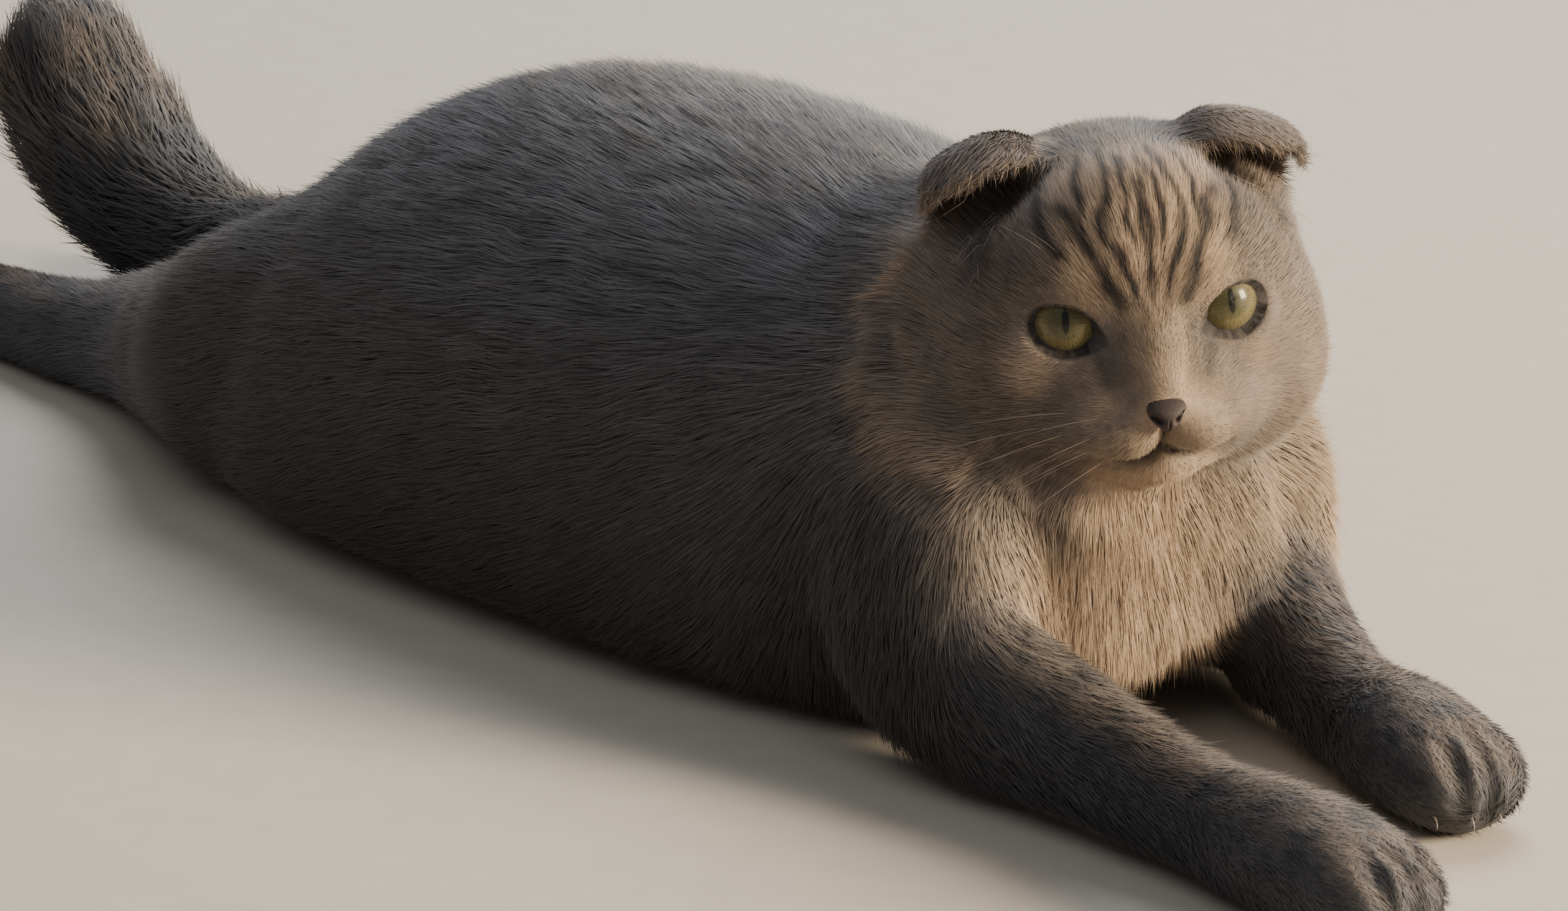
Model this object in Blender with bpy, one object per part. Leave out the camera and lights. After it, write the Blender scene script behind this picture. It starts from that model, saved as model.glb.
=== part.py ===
"""A blue Scottish fold cat at life size, lying on its belly: forelegs stretched out in front,
hind legs out behind, tail lifted at its end, and the head up and turned a little to the cat's right.

Metres, +Z up, the nose towards +X and the cat's left side towards +Y. The solids give the outline
of the coat. The whole cat is modelled as one surface and parted with thin flat cuts into the parts
that a person would name.
"""

import math

import bmesh
import bpy
import numpy as np
from mathutils import Matrix, Vector

# ---------------------------------------------------------------- driving sizes
GAP = 0.0003  # between parts that touch
FINE_VOXEL = 0.0018  # of the surface that the whole cat is modelled in
BODY_TRIANGLES = 5800  # of a whole cat as fine as the body is left
FOOT_TRIANGLES = 12000
HEAD_TRIANGLES = 22000
SETTLE = 0.003  # how far the softest forms flatten on the floor
FLAT_BAND = 0.0002  # what is lower than this above the floor lies on it

HEAD_AT = Vector((0.190, -0.017, 0.148))  # between the eyes and the back of the skull, at eye level
HEAD_YAW = -33  # degrees, to the cat's right
HEAD_PITCH = 2  # nose down
HEAD_ROLL = 7  # right ear down

EYE_RADIUS = 0.0116
EYE_FORWARD = 0.0288
EYE_APART = 0.0233  # from the middle of the face
EYE_TURN_OUT = 16  # degrees
EYE_OPENING = (0.0107, 0.0079)  # half length and half height between the lids
EYE_SLANT = 17  # degrees, outer corner up
LID = 0.0016

EAR_THICK = 0.0036

COAT_BLUE = (0.155, 0.148, 0.150, 1)
EYE_GREEN = (0.46, 0.47, 0.13, 1)
NOSE_SLATE = (0.075, 0.060, 0.060, 1)

# Sections of the trunk: x, y, height of its widest place, half width there, top, bottom.
TRUNK = (
    (-0.222, 0.000, 0.048, 0.030, 0.074, 0.022),
    (-0.190, 0.000, 0.048, 0.060, 0.095, 0.006),
    (-0.150, 0.000, 0.048, 0.096, 0.119, 0.000),
    (-0.114, 0.000, 0.050, 0.111, 0.144, 0.000),
    (-0.070, 0.000, 0.052, 0.116, 0.159, 0.000),
    (-0.020, 0.000, 0.053, 0.116, 0.164, 0.000),
    (0.040, 0.000, 0.053, 0.113, 0.163, 0.000),
    (0.090, 0.000, 0.053, 0.106, 0.157, 0.000),
    (0.135, 0.000, 0.055, 0.094, 0.150, 0.001),
    (0.168, -0.002, 0.062, 0.075, 0.138, 0.004),
    (0.194, -0.004, 0.068, 0.055, 0.120, 0.020),
)
FLAT_BELLY = 4.2  # power of the lower half of the sections: 2 is round, and more is flatter

# Sections of the other forms: x, y, z of the centre, half width, half height.
NECK = (
    (0.080, 0.000, 0.094, 0.058, 0.060),
    (0.130, -0.004, 0.112, 0.062, 0.057),
    (0.165, -0.012, 0.130, 0.058, 0.050),
)
RIGHT_FORELEG = (
    (0.132, -0.053, 0.088, 0.031, 0.048),
    (0.163, -0.071, 0.064, 0.030, 0.043),
    (0.190, -0.079, 0.036, 0.025, 0.033),
    (0.240, -0.077, 0.026, 0.0205, 0.0240),
    (0.298, -0.079, 0.0210, 0.0180, 0.0195),
    (0.339, -0.082, 0.0215, 0.0220, 0.0210),
    (0.366, -0.083, 0.0190, 0.0235, 0.0180),
)
LEFT_FORELEG = (
    (0.132, 0.050, 0.088, 0.031, 0.048),
    (0.163, 0.061, 0.064, 0.030, 0.043),
    (0.183, 0.060, 0.037, 0.025, 0.033),
    (0.216, 0.041, 0.028, 0.0205, 0.0250),
    (0.257, 0.025, 0.0210, 0.0180, 0.0195),
    (0.289, 0.015, 0.0215, 0.0220, 0.0210),
    (0.314, 0.010, 0.0190, 0.0235, 0.0180),
)
RIGHT_HIND_LEG = (
    (-0.110, -0.060, 0.060, 0.046, 0.060),
    (-0.155, -0.066, 0.048, 0.042, 0.049),
    (-0.200, -0.055, 0.037, 0.032, 0.037),
    (-0.245, -0.044, 0.028, 0.024, 0.028),
    (-0.290, -0.042, 0.0205, 0.0185, 0.0205),
    (-0.335, -0.042, 0.0180, 0.0165, 0.0175),
    (-0.374, -0.043, 0.0160, 0.0200, 0.0155),
)
LEFT_HIND_LEG = (
    (-0.110, 0.060, 0.060, 0.046, 0.060),
    (-0.155, 0.067, 0.048, 0.042, 0.049),
    (-0.200, 0.063, 0.037, 0.032, 0.037),
    (-0.245, 0.062, 0.028, 0.024, 0.028),
    (-0.290, 0.066, 0.0205, 0.0185, 0.0205),
    (-0.333, 0.069, 0.0180, 0.0165, 0.0175),
    (-0.371, 0.070, 0.0160, 0.0200, 0.0155),
)
TAIL = (
    (-0.190, 0.002, 0.062, 0.030, 0.030),
    (-0.235, 0.006, 0.051, 0.0265, 0.0265),
    (-0.275, 0.010, 0.045, 0.0270, 0.0270),
    (-0.315, 0.012, 0.052, 0.0300, 0.0300),
    (-0.348, 0.012, 0.070, 0.0330, 0.0320),
    (-0.366, 0.010, 0.090, 0.0310, 0.0310),
)

# Round forms of the head in its own frame: x, y, z of the centre, half sizes, and how softly it joins
# the others. Each that is off the middle is on both sides.
HEAD_FORMS = (
    (-0.012, 0, 0.0025, 0.050, 0.0525, 0.0430, 0),  # skull
    (-0.024, 0, -0.012, 0.044, 0.056, 0.042, 0.020),  # nape
    (0.003, 0.030, -0.018, 0.033, 0.0300, 0.030, 0.016),  # cheek
    (-0.002, 0.030, -0.036, 0.030, 0.0270, 0.024, 0.014),  # jowl
    (0.019, 0, 0.015, 0.026, 0.031, 0.026, 0.020),  # forehead
    (0.032, 0, -0.024, 0.022, 0.026, 0.019, 0.014),  # base of the muzzle
    (0.020, 0.024, 0.015, 0.0175, 0.018, 0.013, 0.012),  # brow
    (0.020, 0.028, -0.012, 0.018, 0.018, 0.015, 0.012),  # cheekbone
    (0.038, 0, -0.009, 0.0140, 0.0105, 0.014, 0.007),  # bridge of the nose
    (0.0460, 0, -0.0205, 0.0115, 0.0096, 0.0084, 0.005),  # tip of the nose
    (0.0425, 0.0102, -0.0310, 0.0138, 0.0116, 0.0100, 0.0045),  # whisker pad
    (0.0345, 0.0205, -0.0305, 0.0130, 0.0125, 0.0108, 0.008),  # outer whisker pad
    (0.0345, 0, -0.0430, 0.0120, 0.0130, 0.0085, 0.005),  # chin
    (0.010, 0, -0.041, 0.028, 0.028, 0.013, 0.014),  # throat
)
EAR_HOLLOW = (0.004, 0.041, 0.034, 0.012, 0.013, 0.010, 0.010)

# The left ear from its inner to its outer end. Each row runs from the root at the back over the fold
# to the front edge.
EAR_ROWS = (
    ((-0.014, 0.012, 0.030), (-0.010, 0.013, 0.0380), (-0.002, 0.015, 0.0390), (0.004, 0.017, 0.0375)),
    ((-0.022, 0.026, 0.028), (-0.018, 0.028, 0.0420), (-0.006, 0.031, 0.0462), (0.007, 0.032, 0.0418)),
    ((-0.026, 0.036, 0.020), (-0.022, 0.040, 0.0375), (-0.008, 0.043, 0.0448), (0.008, 0.045, 0.0392)),
    ((-0.026, 0.042, 0.010), (-0.022, 0.049, 0.0290), (-0.010, 0.054, 0.0390), (0.004, 0.056, 0.0348)),
    ((-0.018, 0.044, 0.002), (-0.016, 0.052, 0.0170), (-0.011, 0.057, 0.0300), (-0.002, 0.058, 0.0285)),
)


# ---------------------------------------------------------------- meshes
def clear_scene():
    for obj in list(bpy.data.objects):
        bpy.data.objects.remove(obj, do_unlink=True)


def link(name, mesh):
    obj = bpy.data.objects.new(name, mesh)
    bpy.context.scene.collection.objects.link(obj)
    return obj


def from_points(name, points, faces):
    mesh = bpy.data.meshes.new(name)
    mesh.from_pydata([tuple(p) for p in points], [], faces)
    mesh.update()
    return link(name, mesh)


def points_of(mesh):
    points = np.empty(len(mesh.vertices) * 3)
    mesh.vertices.foreach_get("co", points)
    return points.reshape(-1, 3)


def set_points(mesh, points):
    mesh.vertices.foreach_set("co", np.asarray(points, np.float32).ravel())
    mesh.update()


def normals_of(mesh):
    normals = np.empty(len(mesh.vertices) * 3)
    mesh.vertex_normals.foreach_get("vector", normals)
    return normals.reshape(-1, 3)


def edges_of(mesh):
    edges = np.empty(len(mesh.edges) * 2, np.int32)
    mesh.edges.foreach_get("vertices", edges)
    return edges.reshape(-1, 2)


def apply_modifiers(obj):
    """Leaves the mesh that the object's modifiers make as its own mesh."""
    bpy.context.view_layer.update()
    graph = bpy.context.evaluated_depsgraph_get()
    mesh = bpy.data.meshes.new_from_object(obj.evaluated_get(graph))
    obj.modifiers.clear()
    obj.data = mesh
    return obj


def copy_of(obj, name):
    return link(name, obj.data.copy())


def remove(*objects):
    for obj in objects:
        bpy.data.objects.remove(obj, do_unlink=True)


# ---------------------------------------------------------------- forms
def between(stations, steps):
    """Rows read from a smooth curve through the stations, steps to each span."""
    rows = np.array(stations, float)
    padded = np.vstack([2 * rows[0] - rows[1], rows, 2 * rows[-1] - rows[-2]])
    out = []
    for a, b, c, d in zip(padded[:-3], padded[1:-2], padded[2:-1], padded[3:]):
        for t in np.arange(steps) / steps:
            out.append(b + 0.5 * t * (c - a + t * (2 * a - 5 * b + 4 * c - d + t * (3 * (b - c) + d - a))))
    out.append(rows[-1])
    return np.array(out)


def limb(stations, around=28, steps=4, cap_rings=4):
    """A closed tube of oval sections, as wide across Y as each station says and as high across its path, with
    round ends. The path lies mostly in planes of constant Y."""
    rows = between(stations, steps)
    path, half = rows[:, :3], rows[:, 3:]
    along = np.gradient(path, axis=0)
    along /= np.linalg.norm(along, axis=1)[:, None]
    rings = []
    swell = np.linspace(0, math.pi / 2, cap_rings + 1)[1:-1]
    ends = [(0, -1, a) for a in swell[::-1]]
    body = [(i, 0, 0) for i in range(len(path))]
    ends_after = [(len(path) - 1, 1, a) for a in swell]
    angles = np.arange(around) * 2 * math.pi / around
    for i, way, a in ends + body + ends_after:
        wide = np.array((0, 1, 0)) - along[i] * along[i][1]
        wide /= np.linalg.norm(wide)
        high = np.cross(along[i], wide)
        centre = path[i] + way * math.sin(a) * half[i].min() * along[i]
        width, height = half[i] * math.cos(a)
        across = width * np.outer(np.cos(angles), wide)
        rings.append(centre + across + height * np.outer(np.sin(angles), high))
    points = np.vstack(rings + [path[:1] - half[0].min() * along[0], path[-1:] + half[-1].min() * along[-1]])
    faces = []
    for r in range(len(rings) - 1):
        for k in range(around):
            m = (k + 1) % around
            faces.append((r * around + k, r * around + m, (r + 1) * around + m, (r + 1) * around + k))
    first, last = len(points) - 2, len(points) - 1
    top = (len(rings) - 1) * around
    for k in range(around):
        m = (k + 1) % around
        faces.append((first, m, k))
        faces.append((last, top + k, top + m))
    return from_points("form", points, faces)


def barrel(stations, power, around=64, steps=5):
    """A closed form along X through the trunk's sections, rounded above and flatter below."""
    rows = between(stations, steps)
    angles = np.arange(around) * 2 * math.pi / around
    side, up = np.cos(angles), np.sin(angles)
    lower = up < 0
    square = 2 / power
    flat_side = np.sign(side) * np.abs(side) ** square
    flat_up = -np.abs(up) ** square
    rings = []
    for x, y, widest, half, top, bottom in rows:
        height = np.where(lower, (widest - bottom) * flat_up, (top - widest) * up)
        width = half * np.where(lower, flat_side, side)
        rings.append(np.column_stack([np.full(around, x), y + width, widest + height]))
    for ring, way in ((rings[0], -1), (rings[-1], 1)):
        middle = ring.mean(axis=0)
        for share in (0.85, 0.55):
            cap = middle + (ring - middle) * share
            cap[:, 0] += way * 0.024 * math.sqrt(1 - share * share)
            if way > 0:
                rings.append(cap)
            else:
                rings.insert(0, cap)
    points = np.vstack(rings)
    faces = [tuple(range(around))[::-1], tuple(range(len(points) - around, len(points)))]
    for r in range(len(rings) - 1):
        for k in range(around):
            m = (k + 1) % around
            faces.append((r * around + k, r * around + m, (r + 1) * around + m, (r + 1) * around + k))
    return from_points("form", points, faces)


def ball(centre, half, frame=Matrix.Identity(4), finer=4):
    """An ellipsoid with the given half sizes, placed in a frame."""
    bm = bmesh.new()
    bmesh.ops.create_icosphere(bm, subdivisions=finer, radius=1)
    place = frame @ Matrix.Translation(centre) @ Matrix.Diagonal((*half, 1))
    bmesh.ops.transform(bm, matrix=place, verts=bm.verts)
    mesh = bpy.data.meshes.new("form")
    bm.to_mesh(mesh)
    bm.free()
    return link("form", mesh)


def distance(points, centre, half):
    """About how far each point is outside an ellipsoid."""
    scaled = (points - centre) / half
    length = np.linalg.norm(scaled, axis=1)
    return length * (length - 1) / np.maximum(np.linalg.norm(scaled / half, axis=1), 1e-9)


def joined(a, b, soft):
    """The nearer of two distances, rounded where they meet."""
    near = np.maximum(soft - np.abs(a - b), 0) / max(soft, 1e-9)
    return np.minimum(a, b) - near * near * soft / 4


def head_distance(points):
    """How far each point of the head's frame is outside the head."""
    mirrored = points * (1, 0, 1) + np.abs(points) * (0, 1, 0)
    away = np.full(len(points), 1.0)
    for x, y, z, *half, soft in HEAD_FORMS:
        away = joined(away, distance(mirrored, (x, y, z), np.array(half)), soft)
    x, y, z, *half, soft = EAR_HOLLOW
    away = -joined(-away, distance(mirrored, (x, y, z), np.array(half)), soft)
    place = np.array(eye_frame(1, Matrix.Identity(4)))[:3, 3]
    lid = EYE_RADIUS + LID
    return joined(away, np.linalg.norm(mirrored - place, axis=1) - lid, 0.004)


def head_form():
    """The head as one soft form, found along lines out from its middle."""
    ball_form = ball((0, 0, 0), (1, 1, 1), finer=6)
    ways = points_of(ball_form.data)
    near = np.full(len(ways), 0.01)
    far = np.full(len(ways), 0.12)
    for _ in range(18):
        middle = (near + far) / 2
        inside = head_distance(ways * middle[:, None]) < 0
        near = np.where(inside, middle, near)
        far = np.where(inside, far, middle)
    place = np.array(HEAD)
    set_points(ball_form.data, (ways * near[:, None]) @ place[:3, :3].T + place[:3, 3])
    return ball_form


def fused(name, forms, voxel):
    """One closed surface round all of the forms."""
    bm = bmesh.new()
    for form in forms:
        bm.from_mesh(form.data)
    bmesh.ops.recalc_face_normals(bm, faces=bm.faces)
    mesh = bpy.data.meshes.new(name)
    bm.to_mesh(mesh)
    bm.free()
    remove(*forms)
    obj = link(name, mesh)
    remesh = obj.modifiers.new("Fuse", "REMESH")
    remesh.mode = "VOXEL"
    remesh.voxel_size = voxel
    return apply_modifiers(obj)


def relax(points, edges, share, rounds):
    """Moves each point by its share of the way to the middle of its neighbours, round after round."""
    count = np.bincount(edges.ravel(), minlength=len(points))
    for _ in range(rounds):
        middle = np.empty_like(points)
        for axis in range(3):
            column = points[:, axis]
            middle[:, axis] = np.bincount(edges[:, 0], column[edges[:, 1]], len(points))
            middle[:, axis] += np.bincount(edges[:, 1], column[edges[:, 0]], len(points))
        points = points + share[:, None] * (middle / count[:, None] - points)
    return points


def decimated(obj, name, triangles):
    """A copy of the surface with about that many triangles."""
    lighter = copy_of(obj, name)
    turn = lighter.modifiers.new("Triangles", "TRIANGULATE")
    turn.quad_method = "BEAUTY"
    apply_modifiers(lighter)
    collapse = lighter.modifiers.new("Lighten", "DECIMATE")
    collapse.ratio = triangles / len(lighter.data.polygons)
    return apply_modifiers(lighter)


# ---------------------------------------------------------------- head frame
def turned(degrees, axis):
    return Matrix.Rotation(math.radians(degrees), 4, axis)


HEAD = Matrix.Translation(HEAD_AT) @ turned(HEAD_YAW, "Z") @ turned(HEAD_PITCH, "Y") @ turned(HEAD_ROLL, "X")


def eye_frame(side, head=HEAD):
    """The frame of an eyeball, X out through the pupil and Y along the opening between the lids."""
    place = Matrix.Translation((EYE_FORWARD, side * EYE_APART, 0))
    return head @ place @ turned(side * EYE_TURN_OUT, "Z") @ turned(side * EYE_SLANT, "X")


def in_frame(points, frame):
    """Points of the world as a frame's own coordinates."""
    inverse = np.array(frame.inverted())
    return points @ inverse[:3, :3].T + inverse[:3, 3]


# ---------------------------------------------------------------- whole cat
def distance_to_path(points, path):
    """How far each point is from a line through the path's points."""
    nearest = np.full(len(points), np.inf)
    for a, b in zip(path[:-1], path[1:]):
        along = b - a
        t = np.clip((points - a) @ along / (along @ along), 0, 1)
        nearest = np.minimum(nearest, np.linalg.norm(points - a - t[:, None] * along, axis=1))
    return nearest


def groove(points, normals, path, width, depth):
    """Presses a line into the front of the face, along a path seen from the front, on both sides."""
    own = in_frame(points, HEAD)
    front = np.clip((own[:, 0] - 0.022) / 0.006, 0, 1)
    far = distance_to_path(np.column_stack([np.abs(own[:, 1]), own[:, 2]]), np.array(path, float))
    return points - normals * (depth * front * np.exp(-((far / width) ** 2)))[:, None]


MOUTH = ((0, -0.0372), (0.0045, -0.0402), (0.0105, -0.0418), (0.0175, -0.0416), (0.0240, -0.0395))
FACE_LINES = (  # y and z of points in the head's frame, width and depth of each line
    (((0, -0.0285), (0, -0.0375)), 0.0018, 0.0030),  # under the nose
    (MOUTH, 0.0019, 0.0032),
    (((0.0105, -0.010), (0.0125, -0.018)), 0.0034, 0.0010),  # beside the nose
    (((0, 0.026), (0, 0.012)), 0.0065, 0.0010),  # between the brows
)
TOE_SPREAD = (-0.0092, 0.0, 0.0092)  # clefts between the four toes


def toe_clefts(points, normals, stations):
    """Parts the front of a paw into four toes."""
    tip = Vector(stations[-1][:3])
    back = Vector(stations[-2][:3])
    forward = (tip - back).normalized()
    across = Vector((0, 0, 1)).cross(forward).normalized()
    for spread in TOE_SPREAD:
        start = tip + forward * 0.001 + across * spread + Vector((0, 0, 0.020))
        front = tip + forward * 0.017 + across * spread * 1.25 + Vector((0, 0, 0.006))
        foot = front - Vector((0, 0, 0.030))
        far = distance_to_path(points, np.array((start, front, foot), float))
        points = points - normals * (0.0044 * np.exp(-((far / 0.0031) ** 2)))[:, None]
    return points


def whole_cat():
    """The outline of the coat as one closed surface, flat where it lies on the floor."""
    forms = [
        barrel(TRUNK, FLAT_BELLY),
        limb(NECK, around=40),
        limb(RIGHT_FORELEG),
        limb(LEFT_FORELEG),
        limb(RIGHT_HIND_LEG),
        limb(LEFT_HIND_LEG),
        limb(TAIL),
    ]
    forms.append(head_form())
    cat = fused("whole_cat", forms, FINE_VOXEL)
    points, edges = points_of(cat.data), edges_of(cat.data)
    own = in_frame(points, HEAD)
    face = np.clip(own[:, 0] / 0.015, 0, 1) * np.clip((0.052 - np.abs(own[:, 1])) / 0.012, 0, 1)
    jaw = -0.058 + 0.6 * np.clip(np.abs(own[:, 1]) - 0.020, 0, 0.03)
    face *= np.clip((own[:, 2] - jaw) / 0.010, 0, 1) * (np.linalg.norm(own, axis=1) < 0.08)
    points = relax(points, edges, 0.6 * (1 - face), 26)
    points = relax(points, edges, np.full(len(points), 0.5), 3)
    set_points(cat.data, points)
    for path, width, depth in FACE_LINES:
        points = groove(points, normals_of(cat.data), path, width, depth)
    for stations in (RIGHT_FORELEG, LEFT_FORELEG, RIGHT_HIND_LEG, LEFT_HIND_LEG):
        points = toe_clefts(points, normals_of(cat.data), stations)
    points[:, 2] = np.maximum(points[:, 2], SETTLE)
    set_points(cat.data, points)
    return cat


# ---------------------------------------------------------------- parting
def box(low, high, frame=Matrix.Identity(4)):
    """A block between two corners of a frame, as a cutter."""
    bm = bmesh.new()
    bmesh.ops.create_cube(bm, size=1)
    low, high = Vector(low), Vector(high)
    size = high - low
    place = frame @ Matrix.Translation((low + high) / 2) @ Matrix.Diagonal((*size, 1))
    bmesh.ops.transform(bm, matrix=place, verts=bm.verts)
    mesh = bpy.data.meshes.new("cutter")
    bm.to_mesh(mesh)
    bm.free()
    cutter = link("cutter", mesh)
    cutter.hide_render = True
    cutter.display_type = "WIRE"
    return cutter


def cut(obj, cutter, operation):
    """Cuts a closed mesh by another one, which is then removed."""
    knife = obj.modifiers.new("Cut", "BOOLEAN")
    knife.operation = operation
    knife.object = cutter
    knife.solver = "EXACT"
    apply_modifiers(obj)
    remove(cutter)
    return obj


def taken(source, name, low, high, frame=Matrix.Identity(4)):
    """The part of the source inside a block, as a new object. The source keeps what is a gap away from it."""
    piece = cut(copy_of(source, name), box(low, high, frame), "INTERSECT")
    slack = Vector((GAP, GAP, GAP))
    cut(source, box(Vector(low) - slack, Vector(high) + slack, frame), "DIFFERENCE")
    return piece


def largest_body(obj):
    """Drops all but the largest of the separate surfaces in a mesh."""
    bm = bmesh.new()
    bm.from_mesh(obj.data)
    left = set(bm.verts)
    bodies = []
    while left:
        stack = [left.pop()]
        body = set(stack)
        while stack:
            for edge in stack.pop().link_edges:
                for v in edge.verts:
                    if v in left:
                        left.remove(v)
                        body.add(v)
                        stack.append(v)
        bodies.append(body)
    bodies.sort(key=len)
    for body in bodies[:-1]:
        bmesh.ops.delete(bm, geom=list(body), context="VERTS")
    bm.to_mesh(obj.data)
    bm.free()
    return obj


FAR = 1.0  # past the end of the cat, for a cutter's open sides
NECK_BACK = 0.112
NECK_FLOOR = 0.096
SHOULDER = 0.128
HIP = -0.118
KNEE = -0.212
HOCK = -0.288
RUMP_FRONT = -0.085
CHEST_BACK = 0.050
TAIL_BEND = -0.288
HEAD_LOW, HEAD_HIGH = (-0.028, -0.066, -0.052), (0.12, 0.066, 0.12)


def taken_between(source, name, x, y, z=(-FAR, FAR)):
    """The part of the source between two values on each axis."""
    return taken(source, name, (x[0], y[0], z[0]), (x[1], y[1], z[1]))


FEET = {  # each foot's span along x and y
    "right_hind_foot": ((-FAR, HOCK), (-FAR, -0.019)),
    "left_hind_foot": ((-FAR, HOCK), (0.042, FAR)),
    "right_forepaw": ((0.305, FAR), (-FAR, -0.034)),
    "left_forepaw": ((0.270, FAR), (-0.016, FAR)),
}


RIGHT_ELBOW = Matrix.Translation((0.205, -0.080, 0))
LEFT_ELBOW = Matrix.Translation((0.199, 0.052, 0)) @ turned(-23, "Z")
FOREARM = {  # each forearm's block, X towards the paw
    "right": ((0, -0.040, -FAR), (0.2, 0.034, 0.066), RIGHT_ELBOW),
    "left": ((0, -0.029, -FAR), (0.2, 0.040, 0.066), LEFT_ELBOW),
}


def part_body(cat):
    """Parts the trunk, neck, legs and tail from the coarser whole, and returns them by name."""
    remove(taken(cat, "spare_head", HEAD_LOW, HEAD_HIGH, HEAD))
    for x, y in FEET.values():
        remove(taken_between(cat, "spare_foot", x, y))
    parts = {"neck": taken_between(cat, "neck", (NECK_BACK, FAR), (-0.1, 0.1), (NECK_FLOOR, FAR))}
    inner = {"right": (-FAR, -0.019), "left": (0.042, FAR)}
    for word, side in (("right", -1), ("left", 1)):
        outer = sorted((side * 0.046, side * FAR))
        parts[word + "_shank"] = taken_between(cat, "shank", (-FAR, KNEE), inner[word])
        parts[word + "_thigh"] = taken_between(cat, "thigh", (-FAR, HIP), outer)
        parts[word + "_forearm"] = taken(cat, "forearm", *FOREARM[word])
        parts[word + "_upper_foreleg"] = taken_between(cat, "arm", (SHOULDER, FAR), outer)
    tip = Matrix.Translation((-0.345, 0.012, 0.066)) @ turned(-25, "Y")
    parts["tail_tip"] = taken(cat, "tip", (-0.1, -0.1, 0), (0.1, 0.1, 0.2), tip)
    parts["tail_middle"] = taken_between(cat, "middle", (-FAR, TAIL_BEND), (-FAR, FAR))
    parts["tail_root"] = taken_between(cat, "root", (-FAR, KNEE), (-FAR, FAR))
    parts["rump"] = taken_between(cat, "rump", (-FAR, RUMP_FRONT), (-FAR, FAR))
    parts["chest"] = taken_between(cat, "chest", (CHEST_BACK, FAR), (-FAR, FAR))
    parts["belly"] = cat
    return parts


def part_head(cat):
    """The head of the finer whole, with sockets for the eyes."""
    head = taken(cat, "head", HEAD_LOW, HEAD_HIGH, HEAD)
    largest_body(head)
    for side in (1, -1):
        frame = eye_frame(side)
        clear = EYE_RADIUS + GAP
        cut(head, ball((0, 0, 0), (clear, clear, clear), frame, finer=3), "DIFFERENCE")
        half_long, half_high = EYE_OPENING
        opening = ball((EYE_RADIUS, 0, 0), (EYE_RADIUS, half_long, half_high), frame, finer=3)
        cut(head, opening, "DIFFERENCE")
    return head


# ---------------------------------------------------------------- eyes, nose and ears
def eyeball(side):
    return ball((0, 0, 0), (EYE_RADIUS, EYE_RADIUS, EYE_RADIUS), eye_frame(side), finer=3)


NOSE_AT = (0.0562, 0, -0.0243)
NOSE_HALF = (0.0047, 0.0049, 0.0049)
NOSE_TAPER = 0.45  # narrower at the foot by this share


def nose_leather():
    """The bare tip of the nose: wide above, narrow below, with a nostril on each side."""
    nose = ball((0, 0, 0), NOSE_HALF, finer=3)
    nose.name = nose.data.name = "nose"
    points = points_of(nose.data)
    points[:, 1] *= 1 + NOSE_TAPER * points[:, 2] / NOSE_HALF[2]
    place = np.array(HEAD @ Matrix.Translation(NOSE_AT))
    set_points(nose.data, points @ place[:3, :3].T + place[:3, 3])
    for side in (1, -1):
        frame = HEAD @ Matrix.Translation(NOSE_AT) @ Matrix.Translation((0.0034, side * 0.0032, -0.0004))
        cut(nose, ball((0, 0, 0), (0.0030, 0.0015, 0.0012), frame @ turned(-side * 35, "X"), 2), "DIFFERENCE")
    return nose


def ear_flap(side, name):
    """A small ear that rises from the skull and folds forward and down over its own hollow."""
    rows = np.array(EAR_ROWS)
    columns = [between(rows[:, k], 6) for k in range(rows.shape[1])]
    sheet = np.array([between(strip, 7) for strip in zip(*columns)])
    across, up = sheet.shape[:2]
    place = np.array(HEAD @ Matrix.Diagonal((1, side, 1, 1)))
    points = sheet.reshape(-1, 3) @ place[:3, :3].T + place[:3, 3]
    faces = []
    for i in range(across - 1):
        for j in range(up - 1):
            k = i * up + j
            faces.append((k, k + up, k + up + 1, k + 1))
    ear = from_points(name, points, faces)
    shell = ear.modifiers.new("Thick", "SOLIDIFY")
    shell.thickness = EAR_THICK
    shell.offset = 0
    apply_modifiers(ear)
    ear = fused(name, [ear], 0.0009)
    ear.name = ear.data.name = name
    half = np.full(len(ear.data.vertices), 0.5)
    set_points(ear.data, relax(points_of(ear.data), edges_of(ear.data), half, 4))
    lighter = decimated(ear, name, 540)
    remove(ear)
    lighter.name = lighter.data.name = name
    return lighter


def grown(obj, by):
    """A copy of a surface moved outwards, as a cutter."""
    bigger = copy_of(obj, "cutter")
    bigger.hide_render = True
    bigger.display_type = "WIRE"
    set_points(bigger.data, points_of(bigger.data) + by * normals_of(bigger.data))
    return bigger


# ---------------------------------------------------------------- assembly
def material(name, colour, roughness):
    made = bpy.data.materials.new(name)
    made.use_nodes = True
    shader = made.node_tree.nodes["Principled BSDF"]
    shader.inputs["Base Color"].default_value = colour
    shader.inputs["Roughness"].default_value = roughness
    return made


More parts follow.
